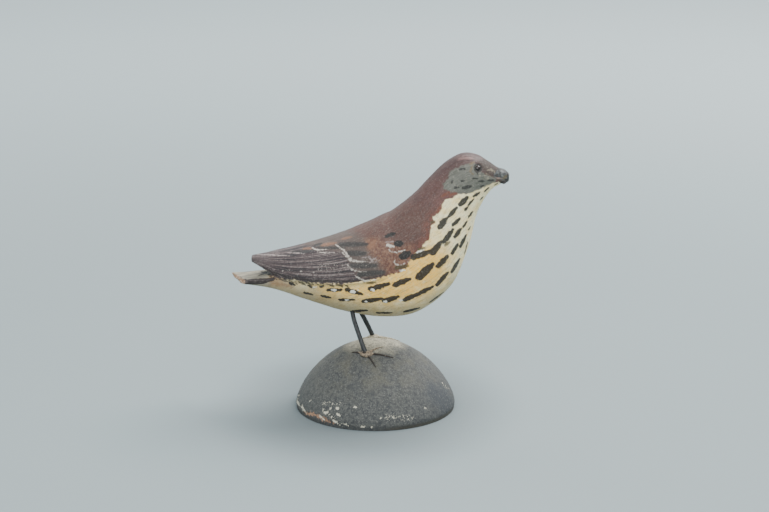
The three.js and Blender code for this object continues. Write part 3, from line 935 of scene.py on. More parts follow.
class Field:
    """A node socket that can be written into sums, so that a tree reads like a formula."""

    def __init__(self, socket):
        self.socket = socket
        self.tree = socket.id_data

    def maths(self, operation, *others):
        node = self.tree.nodes.new("ShaderNodeMath")
        node.operation = operation
        for slot, value in zip(node.inputs, (self, *others)):
            plug(slot, value)
        return Field(node.outputs[0])

    __add__ = partialmethod(maths, "ADD")
    __sub__ = partialmethod(maths, "SUBTRACT")
    __mul__ = partialmethod(maths, "MULTIPLY")
    __truediv__ = partialmethod(maths, "DIVIDE")
    __pow__ = partialmethod(maths, "POWER")
    at_least = partialmethod(maths, "MAXIMUM")
    at_most = partialmethod(maths, "MINIMUM")

    def complement(self):
        """One minus the value."""
        return self * -1.0 + 1.0

    def axes(self):
        """The three numbers of a vector."""
        node = self.tree.nodes.new("ShaderNodeSeparateXYZ")
        plug(node.inputs[0], self)
        return [Field(socket) for socket in node.outputs]

    def length(self):
        return node_field(self.tree, "ShaderNodeVectorMath", "Value", {"operation": "LENGTH"}, vector=self)

    def step(self, start, end):
        """Smooth step from 0 at start to 1 at end."""
        falling = not isinstance(start, Field) and start > end
        low, high = (end, start) if falling else (start, end)
        ends = {"from_min": low, "from_max": high, "to_min": float(falling), "to_max": float(not falling)}
        smooth = {"interpolation_type": "SMOOTHSTEP"}
        return node_field(self.tree, "ShaderNodeMapRange", 0, smooth, value=self, **ends)


def plug(slot, value):
    """Sets a socket to a plain value, or links a field to it."""
    if isinstance(value, Field):
        slot.id_data.links.new(value.socket, slot)
    else:
        slot.default_value = value


def socket_name(name):
    """A socket's label from a keyword, such as Foot Radius from foot_radius."""
    return name.replace("_", " ").title()


def node_field(tree, kind, output=0, settings=(), **inputs):
    """A node with its settings and inputs given by name, and one of its outputs as a field."""
    node = tree.nodes.new(kind)
    for name, value in dict(settings).items():
        setattr(node, name, value)
    for name, value in inputs.items():
        plug(node.inputs[socket_name(name)], value)
    return Field(node.outputs[output])


def vector_of(x, y, z=0.0):
    """A vector of three numbers."""
    return node_field(x.tree, "ShaderNodeCombineXYZ", 0, x=x, y=y, z=z)


def stored(tree, name, output="Fac"):
    """An attribute that the mesh keeps."""
    return node_field(tree, "ShaderNodeAttribute", output, {"attribute_name": name})


def scaled(vector, stretch, shift=(0.0, 0.0, 0.0)):
    """A vector stretched along each axis, then shifted."""
    return node_field(vector.tree, "ShaderNodeMapping", 0, vector=vector, scale=stretch, location=shift)


def place_in_mm(tree, stretch=(1.0, 1.0, 1.0)):
    """Object coordinates in millimetres, stretched along each axis."""
    where = node_field(tree, "ShaderNodeTexCoord", "Object")
    return scaled(where, tuple(s / MM for s in stretch))


def noise(vector, size, detail=2.0, roughness=0.5):
    """Noise between 0 and 1 with features of the given size in the vector's own unit."""
    looks = {"scale": size**-1.0, "detail": detail, "roughness": roughness}
    return node_field(vector.tree, "ShaderNodeTexNoise", vector=vector, **looks)


def blend(mask, under, over):
    """Lays one colour over another where the mask says."""
    node = mask.tree.nodes.new("ShaderNodeMix")
    node.data_type = "RGBA"
    under_slot, over_slot = node.inputs[6:8]
    plug(node.inputs["Factor"], mask)
    plug(under_slot, under)
    plug(over_slot, over)
    return Field(node.outputs[2])


def lay(colour, *coats):
    """Lays coats of paint over a colour in order; a coat is where it covers, then its colour."""
    for mask, over in coats:
        colour = blend(mask, colour, over)
    return colour


def paint(red, green, blue):
    """A paint's colour from its eight-bit values, as the linear colour that a shader takes."""
    def linear(value):
        share = value / 255
        return share / 12.92 if share <= 0.04045 else ((share + 0.055) / 1.055) ** 2.4

    return (linear(red), linear(green), linear(blue), 1.0)


def new_group(name, inputs, output):
    """A shader node group: its tree, its inputs as fields, and the socket that takes its result."""
    tree = bpy.data.node_groups.new(name, "ShaderNodeTree")
    for label, value in inputs.items():
        kind = "NodeSocketVector" if value is None else "NodeSocketFloat"
        made = tree.interface.new_socket(name=label, in_out="INPUT", socket_type=kind)
        if value is not None:
            made.default_value = value
    tree.interface.new_socket(name=output, in_out="OUTPUT", socket_type="NodeSocketFloat")
    source = tree.nodes.new("NodeGroupInput")
    result = tree.nodes.new("NodeGroupOutput")
    return tree, {label: Field(source.outputs[label]) for label in inputs}, result.inputs[output]


def use_group(group, coordinate, **inputs):
    """Places a group in the material that the coordinate belongs to, with its own values."""
    inputs["coordinate"] = coordinate
    return node_field(coordinate.tree, "ShaderNodeGroup", 0, {"node_tree": group}, **inputs)


def painted_edge_group():
    """Where a paint covers: its field in mm, with an edge that wanders like a brushed one."""
    starts = {"Field": 0.0, "Coordinate": None, "Wander": 0.25, "Size": 0.8, "Softness": 0.12}
    tree, value, result = new_group("painted edge", starts, "Mask")
    wander = (noise(value["Coordinate"], value["Size"]) - 0.5) * value["Wander"] * 2.0
    covers = (value["Field"] + wander).step(value["Softness"] * -1.0, value["Softness"])
    plug(result, covers)
    return tree


def brush_streak_group():
    """Streaks of a dragged brush: uneven bands that run along the first coordinate."""
    starts = {"Coordinate": None, "Length": 9.0, "Width": 0.5, "Contrast": 1.0}
    tree, value, result = new_group("brush streaks", starts, "Value")
    along, across, deep = value["Coordinate"].axes()
    dragged = vector_of(along / value["Length"], across / value["Width"], deep / value["Width"])
    spread = (noise(dragged, 1.0, 4.0, 0.6) - 0.5) * value["Contrast"] * 2.0 + 0.5
    plug(result, spread.at_least(0.0).at_most(1.0))
    return tree


def speck_group():
    """Fine specks, as dust and grit show in old paint: their size in mm and how many there are."""
    tree, value, result = new_group("specks", {"Coordinate": None, "Size": 0.3, "Share": 0.3}, "Mask")
    edge = value["Share"] * -0.5 + 0.75
    plug(result, noise(value["Coordinate"], value["Size"], 1.0).step(edge, edge + SPECK_SOFTNESS))
    return tree


SPECK_SOFTNESS = 0.08
PAINTED_EDGE = painted_edge_group()
BRUSH_STREAKS = brush_streak_group()
SPECKS = speck_group()


def area(place, name, wander, size, softness, spread=0.0):
    """Where a stored paint covers, with its edge's looks; spread widens it. All in millimetres."""
    field = stored(place.tree, name) + spread
    return use_group(PAINTED_EDGE, place, field=field, wander=wander, size=size, softness=softness)


def brush_streaks(vector, length, width, contrast):
    """Streaks as long and as wide as given, in the vector's own unit."""
    return use_group(BRUSH_STREAKS, vector, length=length, width=width, contrast=contrast)


def specks(place, size, share):
    """Specks of a size in mm over a share of the surface."""
    return use_group(SPECKS, place, size=size, share=share)


def new_material(name):
    """A material, its tree and its shader."""
    material = bpy.data.materials.new(name)
    material.use_nodes = True
    return material, material.node_tree, material.node_tree.nodes["Principled BSDF"]


def dress(shader, colour, roughness, relief=None, depth=0.0):
    """Gives a shader its colour, its roughness and the finish's fine relief, as deep as depth in mm."""
    plug(shader.inputs["Base Color"], colour)
    plug(shader.inputs["Roughness"], roughness)
    if relief:
        bumps = node_field(relief.tree, "ShaderNodeBump", "Normal", distance=depth * MM, height=relief)
        plug(shader.inputs["Normal"], bumps)


# Where the bird's colours change with height, and where its underparts darken towards the tail
NAPE_HEIGHTS = (58.0, 64.0)
CROWN_HEIGHTS = (66.0, 72.0)
UMBER_REACH = (-4.0, -22.0)
QUILL_WIDTH = 12.0

# Paint colours of the bird, and its eyes' glass
CREAM = paint(255, 246, 204)
WARM_CREAM = paint(252, 230, 166)
GOLD = paint(255, 193, 68)
GREY_CREAM = paint(161, 143, 110)
UMBER_GLAZE = paint(141, 105, 65)
MANTLE_BROWN = paint(84, 54, 46)
MANTLE_RED = paint(110, 57, 42)
MANTLE_GREY = paint(81, 69, 63)
NAPE_PURPLE = paint(94, 62, 61)
CROWN_BROWN = paint(66, 45, 44)
CROWN_HIGHLIGHT_PINK = paint(140, 106, 101)
CROWN_DARK = paint(58, 38, 38)
BORDER_RED = paint(109, 60, 42)
RUFOUS = paint(96, 60, 46)
PRIMARY_BROWN = paint(78, 63, 63)
PRIMARY_DARK = paint(45, 39, 42)
PRIMARY_PALE = paint(139, 126, 122)
TERTIAL_GREY = paint(87, 78, 72)
CHEEK_GREY = paint(102, 102, 93)
CHEEK_DARK = paint(71, 71, 63)
FOREHEAD_GREY = paint(54, 47, 40)
FLECK_CREAM = paint(170, 161, 136)
NEAR_BLACK = paint(20, 18, 16)
STREAK_DARK = paint(20, 18, 17)
STREAK_WORN = paint(46, 43, 40)
DUSKY = paint(45, 44, 43)
OLIVE = paint(74, 63, 36)
CHALK = paint(240, 236, 224)
WING_WHITE = paint(196, 186, 174)
PINKISH_WHITE = paint(172, 157, 152)
ORANGE_BROWN = paint(138, 98, 74)
RUSTY = paint(130, 98, 69)
BILL_GREY = paint(76, 80, 81)
BILL_HIGHLIGHT_PALE = paint(114, 116, 114)
BILL_BLACK = paint(31, 28, 26)
BILL_OLIVE = paint(89, 79, 56)
JAW_BROWN = paint(81, 64, 52)
GAPE_PINK = paint(152, 127, 114)
TAIL_BEIGE = paint(159, 152, 132)
TAIL_GREY = paint(125, 119, 106)
TAIL_DARK = paint(42, 33, 32)
BARE_WOOD = paint(219, 188, 163)
BARE_WOOD_DARK = paint(159, 109, 72)
EYE_OCHRE = paint(112, 89, 54)
GLASS_BLACK = paint(20, 15, 12)
GLASS_BROWN = paint(48, 32, 20)


def bird_finish():
    """Old oil paint on carved wood: cream below, brown above, streaked, worn and a little glossy."""
    material, tree, shader = new_material("old painted bird")
    flow = stored(tree, "flow", "Vector")
    place = place_in_mm(tree)
    along, _, height = place.axes()
    streaks = brush_streaks(flow, 7.0, 0.55, 1.6)
    fine_streaks = brush_streaks(flow, 3.0, 0.22, 1.8)
    mottle = noise(place, 2.2, 3.0, 0.6)
    dapple = noise(place, 0.75, 3.0, 0.6)
    grain = noise(place, 0.35, 2.0, 0.6)
    dry_brush = noise(flow, 0.5, 3.0, 0.7)

    # Cream underparts, golden on the flank, greyer under the belly and rusty by the tail
    golden = area(place, "golden", 1.4, 3.0, 3.6, 0.6) * mottle.step(0.05, 0.5)
    colour = lay(
        CREAM,
        (mottle.step(0.35, 0.7), WARM_CREAM),
        (golden * 0.9, GOLD),
        (golden * grain.step(0.45, 0.65) * 0.45, WARM_CREAM),
        (area(place, "grey_belly", 1.2, 3.0, 2.4, 0.2) * 0.72, GREY_CREAM),
        (along.step(*UMBER_REACH) * 0.24, UMBER_GLAZE),
        (area(place, "rusty", 0.6, 0.9, 0.9) * 0.8, RUSTY),
        (fine_streaks.step(0.52, 0.9) * 0.4, UMBER_GLAZE),
        (grain.step(0.56, 0.76) * 0.3, GREY_CREAM),
    )

    # Brown back, redder towards its jagged lower edge, purplish on the nape and darkest on the crown
    brown = lay(
        MANTLE_BROWN,
        (dapple.step(0.38, 0.62), MANTLE_GREY),
        (stored(tree, "brown").step(4.6, 0.4) * dapple.step(0.3, 0.58) * 0.85, MANTLE_RED),
        (height.step(*NAPE_HEIGHTS) * dapple.step(0.3, 0.6) * 0.6, NAPE_PURPLE),
        (height.step(*CROWN_HEIGHTS) * 0.6, CROWN_BROWN),
        (fine_streaks.step(0.55, 0.9) * 0.35, PRIMARY_DARK),
        (fine_streaks.step(0.35, 0.05) * 0.11, PRIMARY_PALE),
        # Painted highlight on the crown
        (area(place, "crown_highlight", 0.6, 0.9, 0.9) * 0.75, CROWN_HIGHLIGHT_PINK),
        (area(place, "crown_lines", 0.3, 0.6, 0.2, 0.1) * 0.7, CROWN_DARK),
        (area(place, "border_strokes", 0.3, 0.6, 0.25) * 0.8, BORDER_RED),
    )

    # Wings: a rufous patch, grey tertials and dark primaries, streaked along their quills
    across_wing = stored(tree, "quill") * QUILL_WIDTH
    barbs = brush_streaks(vector_of(flow.axes()[0], across_wing), 12.0, 0.3, 2.6)
    primaries = lay(
        PRIMARY_DARK,
        (barbs.step(0.2, 0.5), PRIMARY_BROWN),
        (barbs.step(0.62, 0.95) * dry_brush.step(0.35, 0.55) * 0.8, PRIMARY_PALE),
    )
    rufous = blend(dapple.step(0.4, 0.65), RUFOUS, ORANGE_BROWN)
    wing = lay(
        brown,
        (area(place, "tertials", 0.8, 1.6, 1.4) * 0.7, TERTIAL_GREY),
        (area(place, "primaries", 0.5, 1.2, 0.7), primaries),
        (area(place, "rufous", 1.2, 1.4, 1.2) * 0.75, rufous),
        (area(place, "orange_marks", 0.5, 0.6, 0.4) * 0.75, ORANGE_BROWN),
        (area(place, "dusky_marks", 0.3, 0.6, 0.3, 0.1) * dry_brush.step(0.2, 0.4) * 0.85, DUSKY),
    )
    border = area(place, "brown", 0.85, 1.1, 0.2)

    # Tail: beige top and dark sides, with the wing's ragged lower edge above them
    below_wing = stored(tree, "above_edge").step(-0.7, -1.0)
    tail = blend(streaks.step(0.2, 0.8), TAIL_BEIGE, TAIL_GREY)
    colour = lay(
        colour,
        (border, wing),
        (area(place, "tail_top", 0.9, 1.2, 1.2) * below_wing, tail),
        (area(place, "tail_side", 0.3, 0.8, 0.16, 0.12), TAIL_DARK),
        (area(place, "root_dashes", 0.2, 0.4, 0.2) * 0.8, TAIL_DARK),
        (area(place, "rim_marks", 0.35, 0.5, 0.15) * 0.9, TAIL_DARK),
        (area(place, "fringe_marks", 0.3, 0.5, 0.12) * 0.85, TAIL_DARK),
    )

    # Head: grey cheek with dark strokes, brownish forehead with pale flecks, worn dark bill with a painted
    # highlight on its top
    cheek = lay(
        CHEEK_GREY,
        (fine_streaks.step(0.42, 0.8) * 0.6, CHEEK_DARK),
        (dapple.step(0.56, 0.76) * 0.35, FLECK_CREAM),
        (area(place, "cheek_marks", 0.3, 0.7, 0.14, 0.1) * 0.85, STREAK_DARK),
    )
    bill = lay(
        BILL_GREY,
        (dapple.step(0.4, 0.62), BILL_BLACK),
        # Painted highlight in patches on the bill's top
        (area(place, "bill_highlight", 0.3, 0.5, 0.4) * dapple.step(0.6, 0.4) * 0.8, BILL_HIGHLIGHT_PALE),
        (area(place, "jaw", 0.2, 0.5, 0.2) * 0.9, JAW_BROWN),
        (area(place, "bill_olive", 0.3, 0.5, 0.3) * 0.9, BILL_OLIVE),
        (area(place, "bill_edge", 0.2, 0.5, 0.2), BILL_BLACK),
        (area(place, "gape_marks", 0.1, 0.5, 0.12) * 0.9, GAPE_PINK),
    )
    forehead = blend(fine_streaks.step(0.45, 0.85) * 0.7, FOREHEAD_GREY, CROWN_BROWN)
    brow = area(place, "forehead", 0.9, 0.9, 0.9)
    colour = lay(
        colour,
        (brow * 0.9, forehead),
        (area(place, "cheek", 0.55, 0.8, 0.28), cheek),
        (area(place, "flecks", 0.4, 0.5, 0.5) * dapple.step(0.48, 0.6) * 0.45, FLECK_CREAM),
        (area(place, "eye_ochre", 0.3, 0.4, 0.3) * 0.75, EYE_OCHRE),
        (stored(tree, "eye_gap").step(1.65, 1.35) * 0.9, NEAR_BLACK),
        (area(place, "eye_notch", 0.1, 0.4, 0.1) * 0.9, NEAR_BLACK),
        (area(place, "bill", 0.3, 0.6, 0.18), bill),
    )

    # Marks on top of all: worn black streaks, pale strokes, white bars, and painted highlights: spots and
    # glints of gloss
    black = area(place, "black_marks", 0.42, 0.7, 0.13, 0.07)
    worn_black = blend(grain.step(0.5, 0.75) * 0.7, STREAK_DARK, STREAK_WORN)
    # Painted glints and painted highlights of gloss, laid with the white marks
    glints = area(place, "wing_glints", 0.9, 1.2, 0.6) * specks(place, 0.3, 0.3) * 0.55
    white = area(place, "white_marks", 0.5, 0.6, 0.16, -0.04) * dry_brush.step(0.25, 0.45)
    white = white.at_least(area(place, "gloss_highlights", 0.2, 0.4, 0.15)).at_least(glints)
    colour = lay(
        colour,
        (area(place, "olive_marks", 0.3, 0.5, 0.2, 0.05) * 0.85, OLIVE),
        (black * 0.97, worn_black),
        (area(place, "pale_marks", 0.25, 0.5, 0.2) * dry_brush.step(0.35, 0.5) * 0.8, PINKISH_WHITE),
        (white, blend(border, CHALK, WING_WHITE)),
    )

    # Fine dust and pits all over, bare wood at the tail's break, and paint rubbed thin on sharp edges
    split = brush_streaks(place_in_mm(tree, (0.4, 1, 1)), 0.6, 0.4, 2.0)
    wood = blend(split.step(0.35, 0.7), BARE_WOOD_DARK, BARE_WOOD)
    bare = stored(tree, "break_gap").step(0.45, 0.2)
    rubbed = stored(tree, "edges").step(0.02, 0.05) * grain.step(0.4, 0.7) * 0.5
    colour = lay(
        colour,
        (specks(place, 0.27, 0.3) * 0.1, CHALK),
        (specks(place_in_mm(tree, (1.2, 1.2, 1.2)), 0.32, 0.3) * 0.24, STREAK_DARK),
        (bare, wood),
        (rubbed, PRIMARY_PALE),
    )
    roughness = border * -0.12 + 0.58 + grain * 0.16 + bare * 0.2 + brow * 0.2
    relief = fine_streaks * 0.5 + grain * 0.6 + dapple * 0.5 + black * 0.5 + white * 0.9
    dress(shader, colour, roughness, relief, 0.06)
    return material


# Where the mound's paint changes, in millimetres: olive with height, the painted shade along its
# foot, its olive painted contact shade, the painted shade and painted light of its two sides, and
# the dust on the feet from the front to the back
OLIVE_HEIGHTS = (5.0, 15.0)
FOOT_SHADE_LINE = (1.5, 0.5)
CONTACT_SHADE_REACH = (2.0, 9.0)
HEAD_SIDE_SHADE = (6.0, 20.0)
TAIL_SIDE_LIGHT = (-8.0, -20.0)
FEET_DUST_REACH = (-5.0, -2.0)

# Colours of the mound, its chips, the feet and the wires
MOUND_GREY = paint(88, 89, 86)
MOUND_DARK = paint(58, 60, 62)
MOUND_OLIVE = paint(95, 93, 82)
MOUND_BLUE = paint(54, 59, 66)
MOUND_DUST = paint(204, 197, 174)
MOUND_SPECK = paint(108, 108, 104)
# Olive painted contact shade along the foot on the right
MOUND_CONTACT_SHADE = paint(63, 59, 47)
PLASTER = paint(210, 205, 185)
PUTTY = paint(154, 135, 114)
PUTTY_GREY = paint(87, 80, 69)
TOE_DARK = paint(38, 34, 32)
WIRE_DARK = paint(43, 44, 46)
WIRE_SCUFF = paint(80, 81, 82)


def mound_finish():
    """Grey paint over wood and plaster, dusty round the feet, chipped and bare along the lower left."""
    material, tree, shader = new_material("mottled grey mound")
    place = place_in_mm(tree)
    x, y, z = place.axes()
    cloud = noise(place, 5.0, 4.0, 0.6)
    mottle = noise(place, 0.9, 3.0, 0.65)
    grain = noise(place, 0.3, 2.0, 0.6)
    across = (x - DUST_CENTRE[0]) / DUST_REACH[0]
    deep = (y - DUST_CENTRE[1]) / DUST_REACH[1]
    dust = (across * across + deep * deep).complement() + (cloud - 0.5) * 1.2
    dust = dust.step(-0.1, 1.0) * (mottle.step(0.3, 0.62) * 0.5 + grain * 0.3 + 0.3)
    colour = lay(
        MOUND_DARK,
        (mottle.step(0.32, 0.66), MOUND_GREY),
        (cloud.step(0.4, 0.65) * z.step(*OLIVE_HEIGHTS) * 0.7, MOUND_OLIVE),
        (area(place, "blue_patch", 2.0, 3.0, 2.0) * 0.75, MOUND_BLUE),
        (dust, MOUND_DUST),
        (specks(place, 0.42, 0.34) * 0.75, MOUND_SPECK),
        (specks(place_in_mm(tree, (1.3, 1.3, 1.3)), 0.5, 0.34) * 0.6, MOUND_DARK),
    )

    # Painted shade towards the head's side, painted light towards the tail's. Along the foot: painted
    # shade in a dark line, olive painted contact shade on the right, bare wood, and cream chips of plaster
    low = z.step(*FOOT_SHADE_LINE)
    wood = blend(mottle.step(0.3, 0.7) * 0.4, BARE_WOOD_DARK, BARE_WOOD)
    flakes = area(place, "flaking", 0.8, 1.0, 0.5) * specks(place, 0.45, 0.34)
    chips = area(place, "chips", 0.7, 0.6, 0.1, -0.08).at_least(flakes)
    colour = lay(
        colour,
        (x.step(*HEAD_SIDE_SHADE) * 0.35, MOUND_DARK),
        (x.step(*TAIL_SIDE_LIGHT) * 0.22, MOUND_SPECK),
        (low * 0.55, MOUND_DARK),
        (low * x.step(*CONTACT_SHADE_REACH) * 0.6, MOUND_CONTACT_SHADE),
        (area(place, "bare_wood", 1.2, 0.7, 0.3, -0.1) * mottle.step(0.4, 0.54) * 0.9, wood),
        (chips * (grain * 0.3 + 0.75), PLASTER),
    )
    dress(shader, colour, grain * 0.2 + 0.72, grain * 0.8 + mottle * 0.8 + chips * -0.5, 0.1)
    return material


def wire_finish():
    """Dark painted wire, scuffed lighter in patches."""
    material, tree, shader = new_material("dark leg wire")
    place = place_in_mm(tree, (1, 1, 0.35))
    scuffs = noise(place, 0.6, 3.0, 0.6)
    colour = blend(scuffs.step(0.45, 0.7) * 0.8, WIRE_DARK, WIRE_SCUFF)
    shader.inputs["Metallic"].default_value = 0.15
    dress(shader, colour, scuffs * 0.3 + 0.4, noise(place, 0.3), 0.03)
    return material


def foot_finish():
    """Peach putty, dusty away from the front, with dark painted toes."""
    material, tree, shader = new_material("putty feet")
    place = place_in_mm(tree)
    grain = noise(place, 0.4, 3.0, 0.6)
    away = (place.axes()[1] + grain * 2.0).step(*FEET_DUST_REACH)
    colour = lay(
        PUTTY,
        (grain.step(0.35, 0.7), PUTTY_GREY),
        (away * 0.7, MOUND_DUST),
        (grain.step(0.5, 0.62) * 0.6, PUTTY_GREY),
        (area(place, "toe_paint", 0.2, 0.6, 0.12) * 0.95, TOE_DARK),
    )
    dress(shader, colour, grain * 0.2 + 0.7, grain, 0.08)
    return material


def eye_finish():
    """Dark glass bead, glossy, with a faint brown cloud in it."""
    material, tree, shader = new_material("glass eye bead")
    cloud = noise(place_in_mm(tree), 0.8)
    colour = blend(cloud.step(0.4, 0.7) * 0.6, GLASS_BLACK, GLASS_BROWN)
    shader.inputs["IOR"].default_value = 1.5
    dress(shader, colour, cloud * 0.05 + 0.04)
    return material


def mound_height(x, y):
    """Height of the mound's surface above a point of the ground."""
    share = np.minimum(np.hypot(x, y) / MOUND_RADIUS, 1)
    rise = (1 - share**MOUND_SHOULDER) ** (1 / MOUND_RISE)
    return MOUND_FOOT_HEIGHT + (MOUND_HEIGHT - MOUND_FOOT_HEIGHT) * rise


def new_geometry_tree(name, sizes):
    """A Geometry Nodes tree with named inputs and a geometry output; gives its inputs as fields."""
    tree = bpy.data.node_groups.new(name, "GeometryNodeTree")
    kinds = {"Geometry": "Geometry", **dict.fromkeys(sizes, "Float"), "Material": "Material"}
    for label, kind in kinds.items():
        tree.interface.new_socket(name=label, in_out="INPUT", socket_type="NodeSocket" + kind)
    tree.interface.new_socket(name="Geometry", in_out="OUTPUT", socket_type="NodeSocketGeometry")
    source = tree.nodes.new("NodeGroupInput")
    return tree, {label: Field(source.outputs[label]) for label in kinds}


def geometry_step(geometry, kind, settings=(), **inputs):
    """A geometry node fed with a geometry: its first input, first output."""
    made = node_field(geometry.tree, kind, 0, settings, **inputs)
    plug(made.socket.node.inputs[0], geometry)
    return made


def close_geometry_tree(geometry, material):
    """Ends a tree: smooth shading, Realize Instances and Set Material."""
    smooth = geometry_step(geometry, "GeometryNodeSetShadeSmooth")
    real = geometry_step(smooth, "GeometryNodeRealizeInstances")
    dressed = geometry_step(real, "GeometryNodeSetMaterial", material=material)
    plug(geometry.tree.nodes.new("NodeGroupOutput").inputs[0], dressed)
    return geometry.tree


def grow(made, tree, material, **sizes):
    """Runs a tree on an object with its named inputs and keeps the result as a plain mesh."""
    modifier = made.modifiers.new("grow", "NODES")
    modifier.node_group = tree
    values = {socket_name(name): value for name, value in sizes.items()}
    values["Material"] = material
    for item in tree.interface.items_tree:
        if item.in_out == "INPUT" and item.name in values:
            modifier[item.identifier] = values[item.name]
    return plain_mesh(made)


def position(tree):
    """The point that a geometry tree is working on."""
    return node_field(tree, "GeometryNodeInputPosition")


def dome_tree():
    """A turned dome: underside, rolled foot and fullest just above it, with a rough plaster skin."""
    sizes = ["Radius", "Height", "Foot Radius", "Foot Height", "Rise", "Shoulder", "Roughness", "Seed"]
    tree, value = new_geometry_tree("turned dome", sizes)
    across, upward, _ = position(tree).axes()
    turn = (across + 0.5) * (2 * math.pi)
    climb = upward + 0.5

    def share(start, end):
        return ((climb - start) / (end - start)).at_least(0.0).at_most(1.0)

    def rough(size, detail):
        scale = 1 / (size * MM)
        moving = {"vector": position(tree), "w": value["Seed"], "scale": scale, "detail": detail}
        return node_field(tree, "ShaderNodeTexNoise", 0, {"noise_dimensions": "4D"}, **moving)

    quarter = math.pi / 2
    under = share(0.0, DOME_UNDERSIDE_SHARE)
    foot = share(DOME_UNDERSIDE_SHARE, DOME_FOOT_SHARE)
    along = (share(DOME_FOOT_SHARE, 1.0) * quarter).maths("SINE")
    roll = (foot * quarter).maths("SINE")
    base = value["Foot Radius"] * under + (value["Radius"] - value["Foot Radius"]) * roll
    narrowing = (along ** value["Rise"]).complement().at_least(0.0) ** (value["Shoulder"] ** -1.0)
    radius = base * narrowing
    height = value["Foot Height"] * foot + (value["Height"] - value["Foot Height"]) * along
    turned_point = vector_of(radius * turn.maths("COSINE"), radius * turn.maths("SINE"), height)
    shaped = geometry_step(value["Geometry"], "GeometryNodeSetPosition", position=turned_point)
    closed = geometry_step(shaped, "GeometryNodeMergeByDistance", distance=DOME_POLE_GAP * MM)

    # Plaster: it rolls, is pitted and sandy, roughest low down, and stays flat where it stands
    plaster = rough(7.0, 2.0) * 0.45 + rough(1.1, 3.0) * 0.4 + rough(0.45, 2.0) * 0.25
    above_ground = position(tree).axes()[2].at_least(0.0)
    lift = above_ground / value["Height"] * 0.35 + 0.25
    depth = (plaster - lift) * value["Roughness"] * -1.0
    depth = depth * (above_ground / (DOME_FLAT_HEIGHT * MM)).at_most(1.0)
    normal = node_field(tree, "GeometryNodeInputNormal")
    push = node_field(tree, "ShaderNodeVectorMath", 0, {"operation": "SCALE"}, vector=normal, scale=depth)
    roughened = geometry_step(closed, "GeometryNodeSetPosition", offset=push)
    return close_geometry_tree(roughened, value["Material"])


def rod_tree():
    """A round rod along each line of a mesh, tapering from root to tip, a little uneven."""
    tree, value = new_geometry_tree("tapered rod", ["Root Radius", "Tip Radius", "Unevenness", "Lump Size"])
    lines = geometry_step(value["Geometry"], "GeometryNodeMeshToCurve")
    smooth = geometry_step(lines, "GeometryNodeCurveSplineType", {"spline_type": "CATMULL_ROM"})
    even = geometry_step(smooth, "GeometryNodeResampleCurve", count=ROD_STEPS)
    share = node_field(tree, "GeometryNodeSplineParameter")
    taper = value["Root Radius"] + (value["Tip Radius"] - value["Root Radius"]) * share
    lumps = noise(position(tree), value["Lump Size"])
    width = taper * ((lumps - 1.0) * value["Unevenness"] + 1.0)
    outline = node_field(tree, "GeometryNodeCurvePrimitiveCircle", resolution=ROD_SIDES, radius=1.0)
    sweep = {"profile_curve": outline, "scale": width, "fill_caps": True}
    return close_geometry_tree(geometry_step(even, "GeometryNodeCurveToMesh", **sweep), value["Material"])


# The dome's grid: shares of its rows for underside and foot, its size, the gap that is closed at its
# poles, and the height over which its foot stays flat
DOME_UNDERSIDE_SHARE = 0.2
DOME_FOOT_SHARE = 0.25
DOME_TURNS = 400
DOME_CLIMB = 190
DOME_POLE_GAP = 0.004
DOME_FLAT_HEIGHT = 0.6
ROD_STEPS = 72
ROD_SIDES = 20

# The mound's chips of bare plaster and wood, as dabs of photo pixels
PLASTER_DABS = [
    (328.8, 405.8, 332.0, 410.4, 1.1, 1), (335.2, 405.0, 339.0, 411.2, 1.5, 0),
    (353.6, 405.6, 357.4, 408.6, 1.2, 0), (335.6, 412.2, 340.2, 416.0, 1.2, -1),
    (323.4, 409.6, 328.6, 414.6, 1.3, 0), (298.6, 377.0, 300.8, 383.0, 0.6, 1),
    (296.6, 384.0, 299.4, 391.0, 0.8, 1), (297.6, 392.0, 300.2, 398.4, 0.6, 0),
    (295.8, 399.4, 300.0, 405.4, 0.9, -1), (301.0, 405.0, 306.4, 413.2, 0.9, -1),
    (309.0, 398.8, 311.2, 402.0, 0.7, 0), (318.6, 414.6, 325.0, 420.4, 1.2, -1),
    (332.6, 419.6, 340.0, 424.2, 1.2, -1), (343.0, 422.6, 349.0, 426.2, 0.9, -1),
    (360.6, 424.8, 365.8, 428.6, 1.2, 0), (370.6, 425.6, 373.8, 428.6, 0.9, 0),
    (380.4, 415.6, 382.2, 420.4, 0.7, 0), (392.4, 416.2, 396.8, 419.4, 0.8, 0),
    (424.0, 407.0, 428.0, 410.4, 0.7, 0),
]
BARE_EDGE_LINES = [
    ([(304, 413), (311, 414), (318, 416.2), (326, 420.4), (334, 423.6)], (0.7, 1.5, 2.1, 0.9)),
]
FLAKING_DABS = [
    (295.0, 382.0, 304.0, 398.0, 1.8, 1), (294.6, 396.0, 304.6, 410.6, 1.8, -1),
    (322.0, 398.0, 340.0, 408.0, 1.6, 0), (322.0, 409.0, 342.0, 425.0, 2.0, -1),
    (386.0, 411.0, 412.0, 424.0, 3.2, 0), (442.0, 383.0, 451.0, 391.0, 1.2, -1),
]
BLUE_PATCH_DABS = [(428.0, 384.0, 456.0, 408.0, 9.0, -1)]
DUST_CENTRE = (0.0, 2.6)
DUST_REACH = (10.2, 11.0)
CHIP_DEPTH = 0.10
BARE_EDGE_DEPTH = 0.12

# Small chips on the far side: how many, between which angles, up to which height, how wide
FAR_CHIP_COUNT = 34
FAR_CHIP_ANGLES = (math.radians(10), math.radians(190))
FAR_CHIP_HEIGHT = 6.0
FAR_CHIP_RADII = (0.12, 0.38)

# Dark paint that is still on the right foot, as dabs of photo pixels; the left foot has none
TOE_DABS = [
    (367.4, 355.8, 377.0, 368.2, 2.2, -1), (373.2, 352.5, 385.0, 355.8, 1.9, -1),
    (386.0, 355.4, 394.4, 358.7, 1.8, -1), (351.0, 352.2, 359.0, 354.8, 1.7, 0),
    (361.6, 354.6, 364.6, 360.4, 1.4, 0), (362.8, 349.6, 366.2, 355.0, 1.2, 0),
]


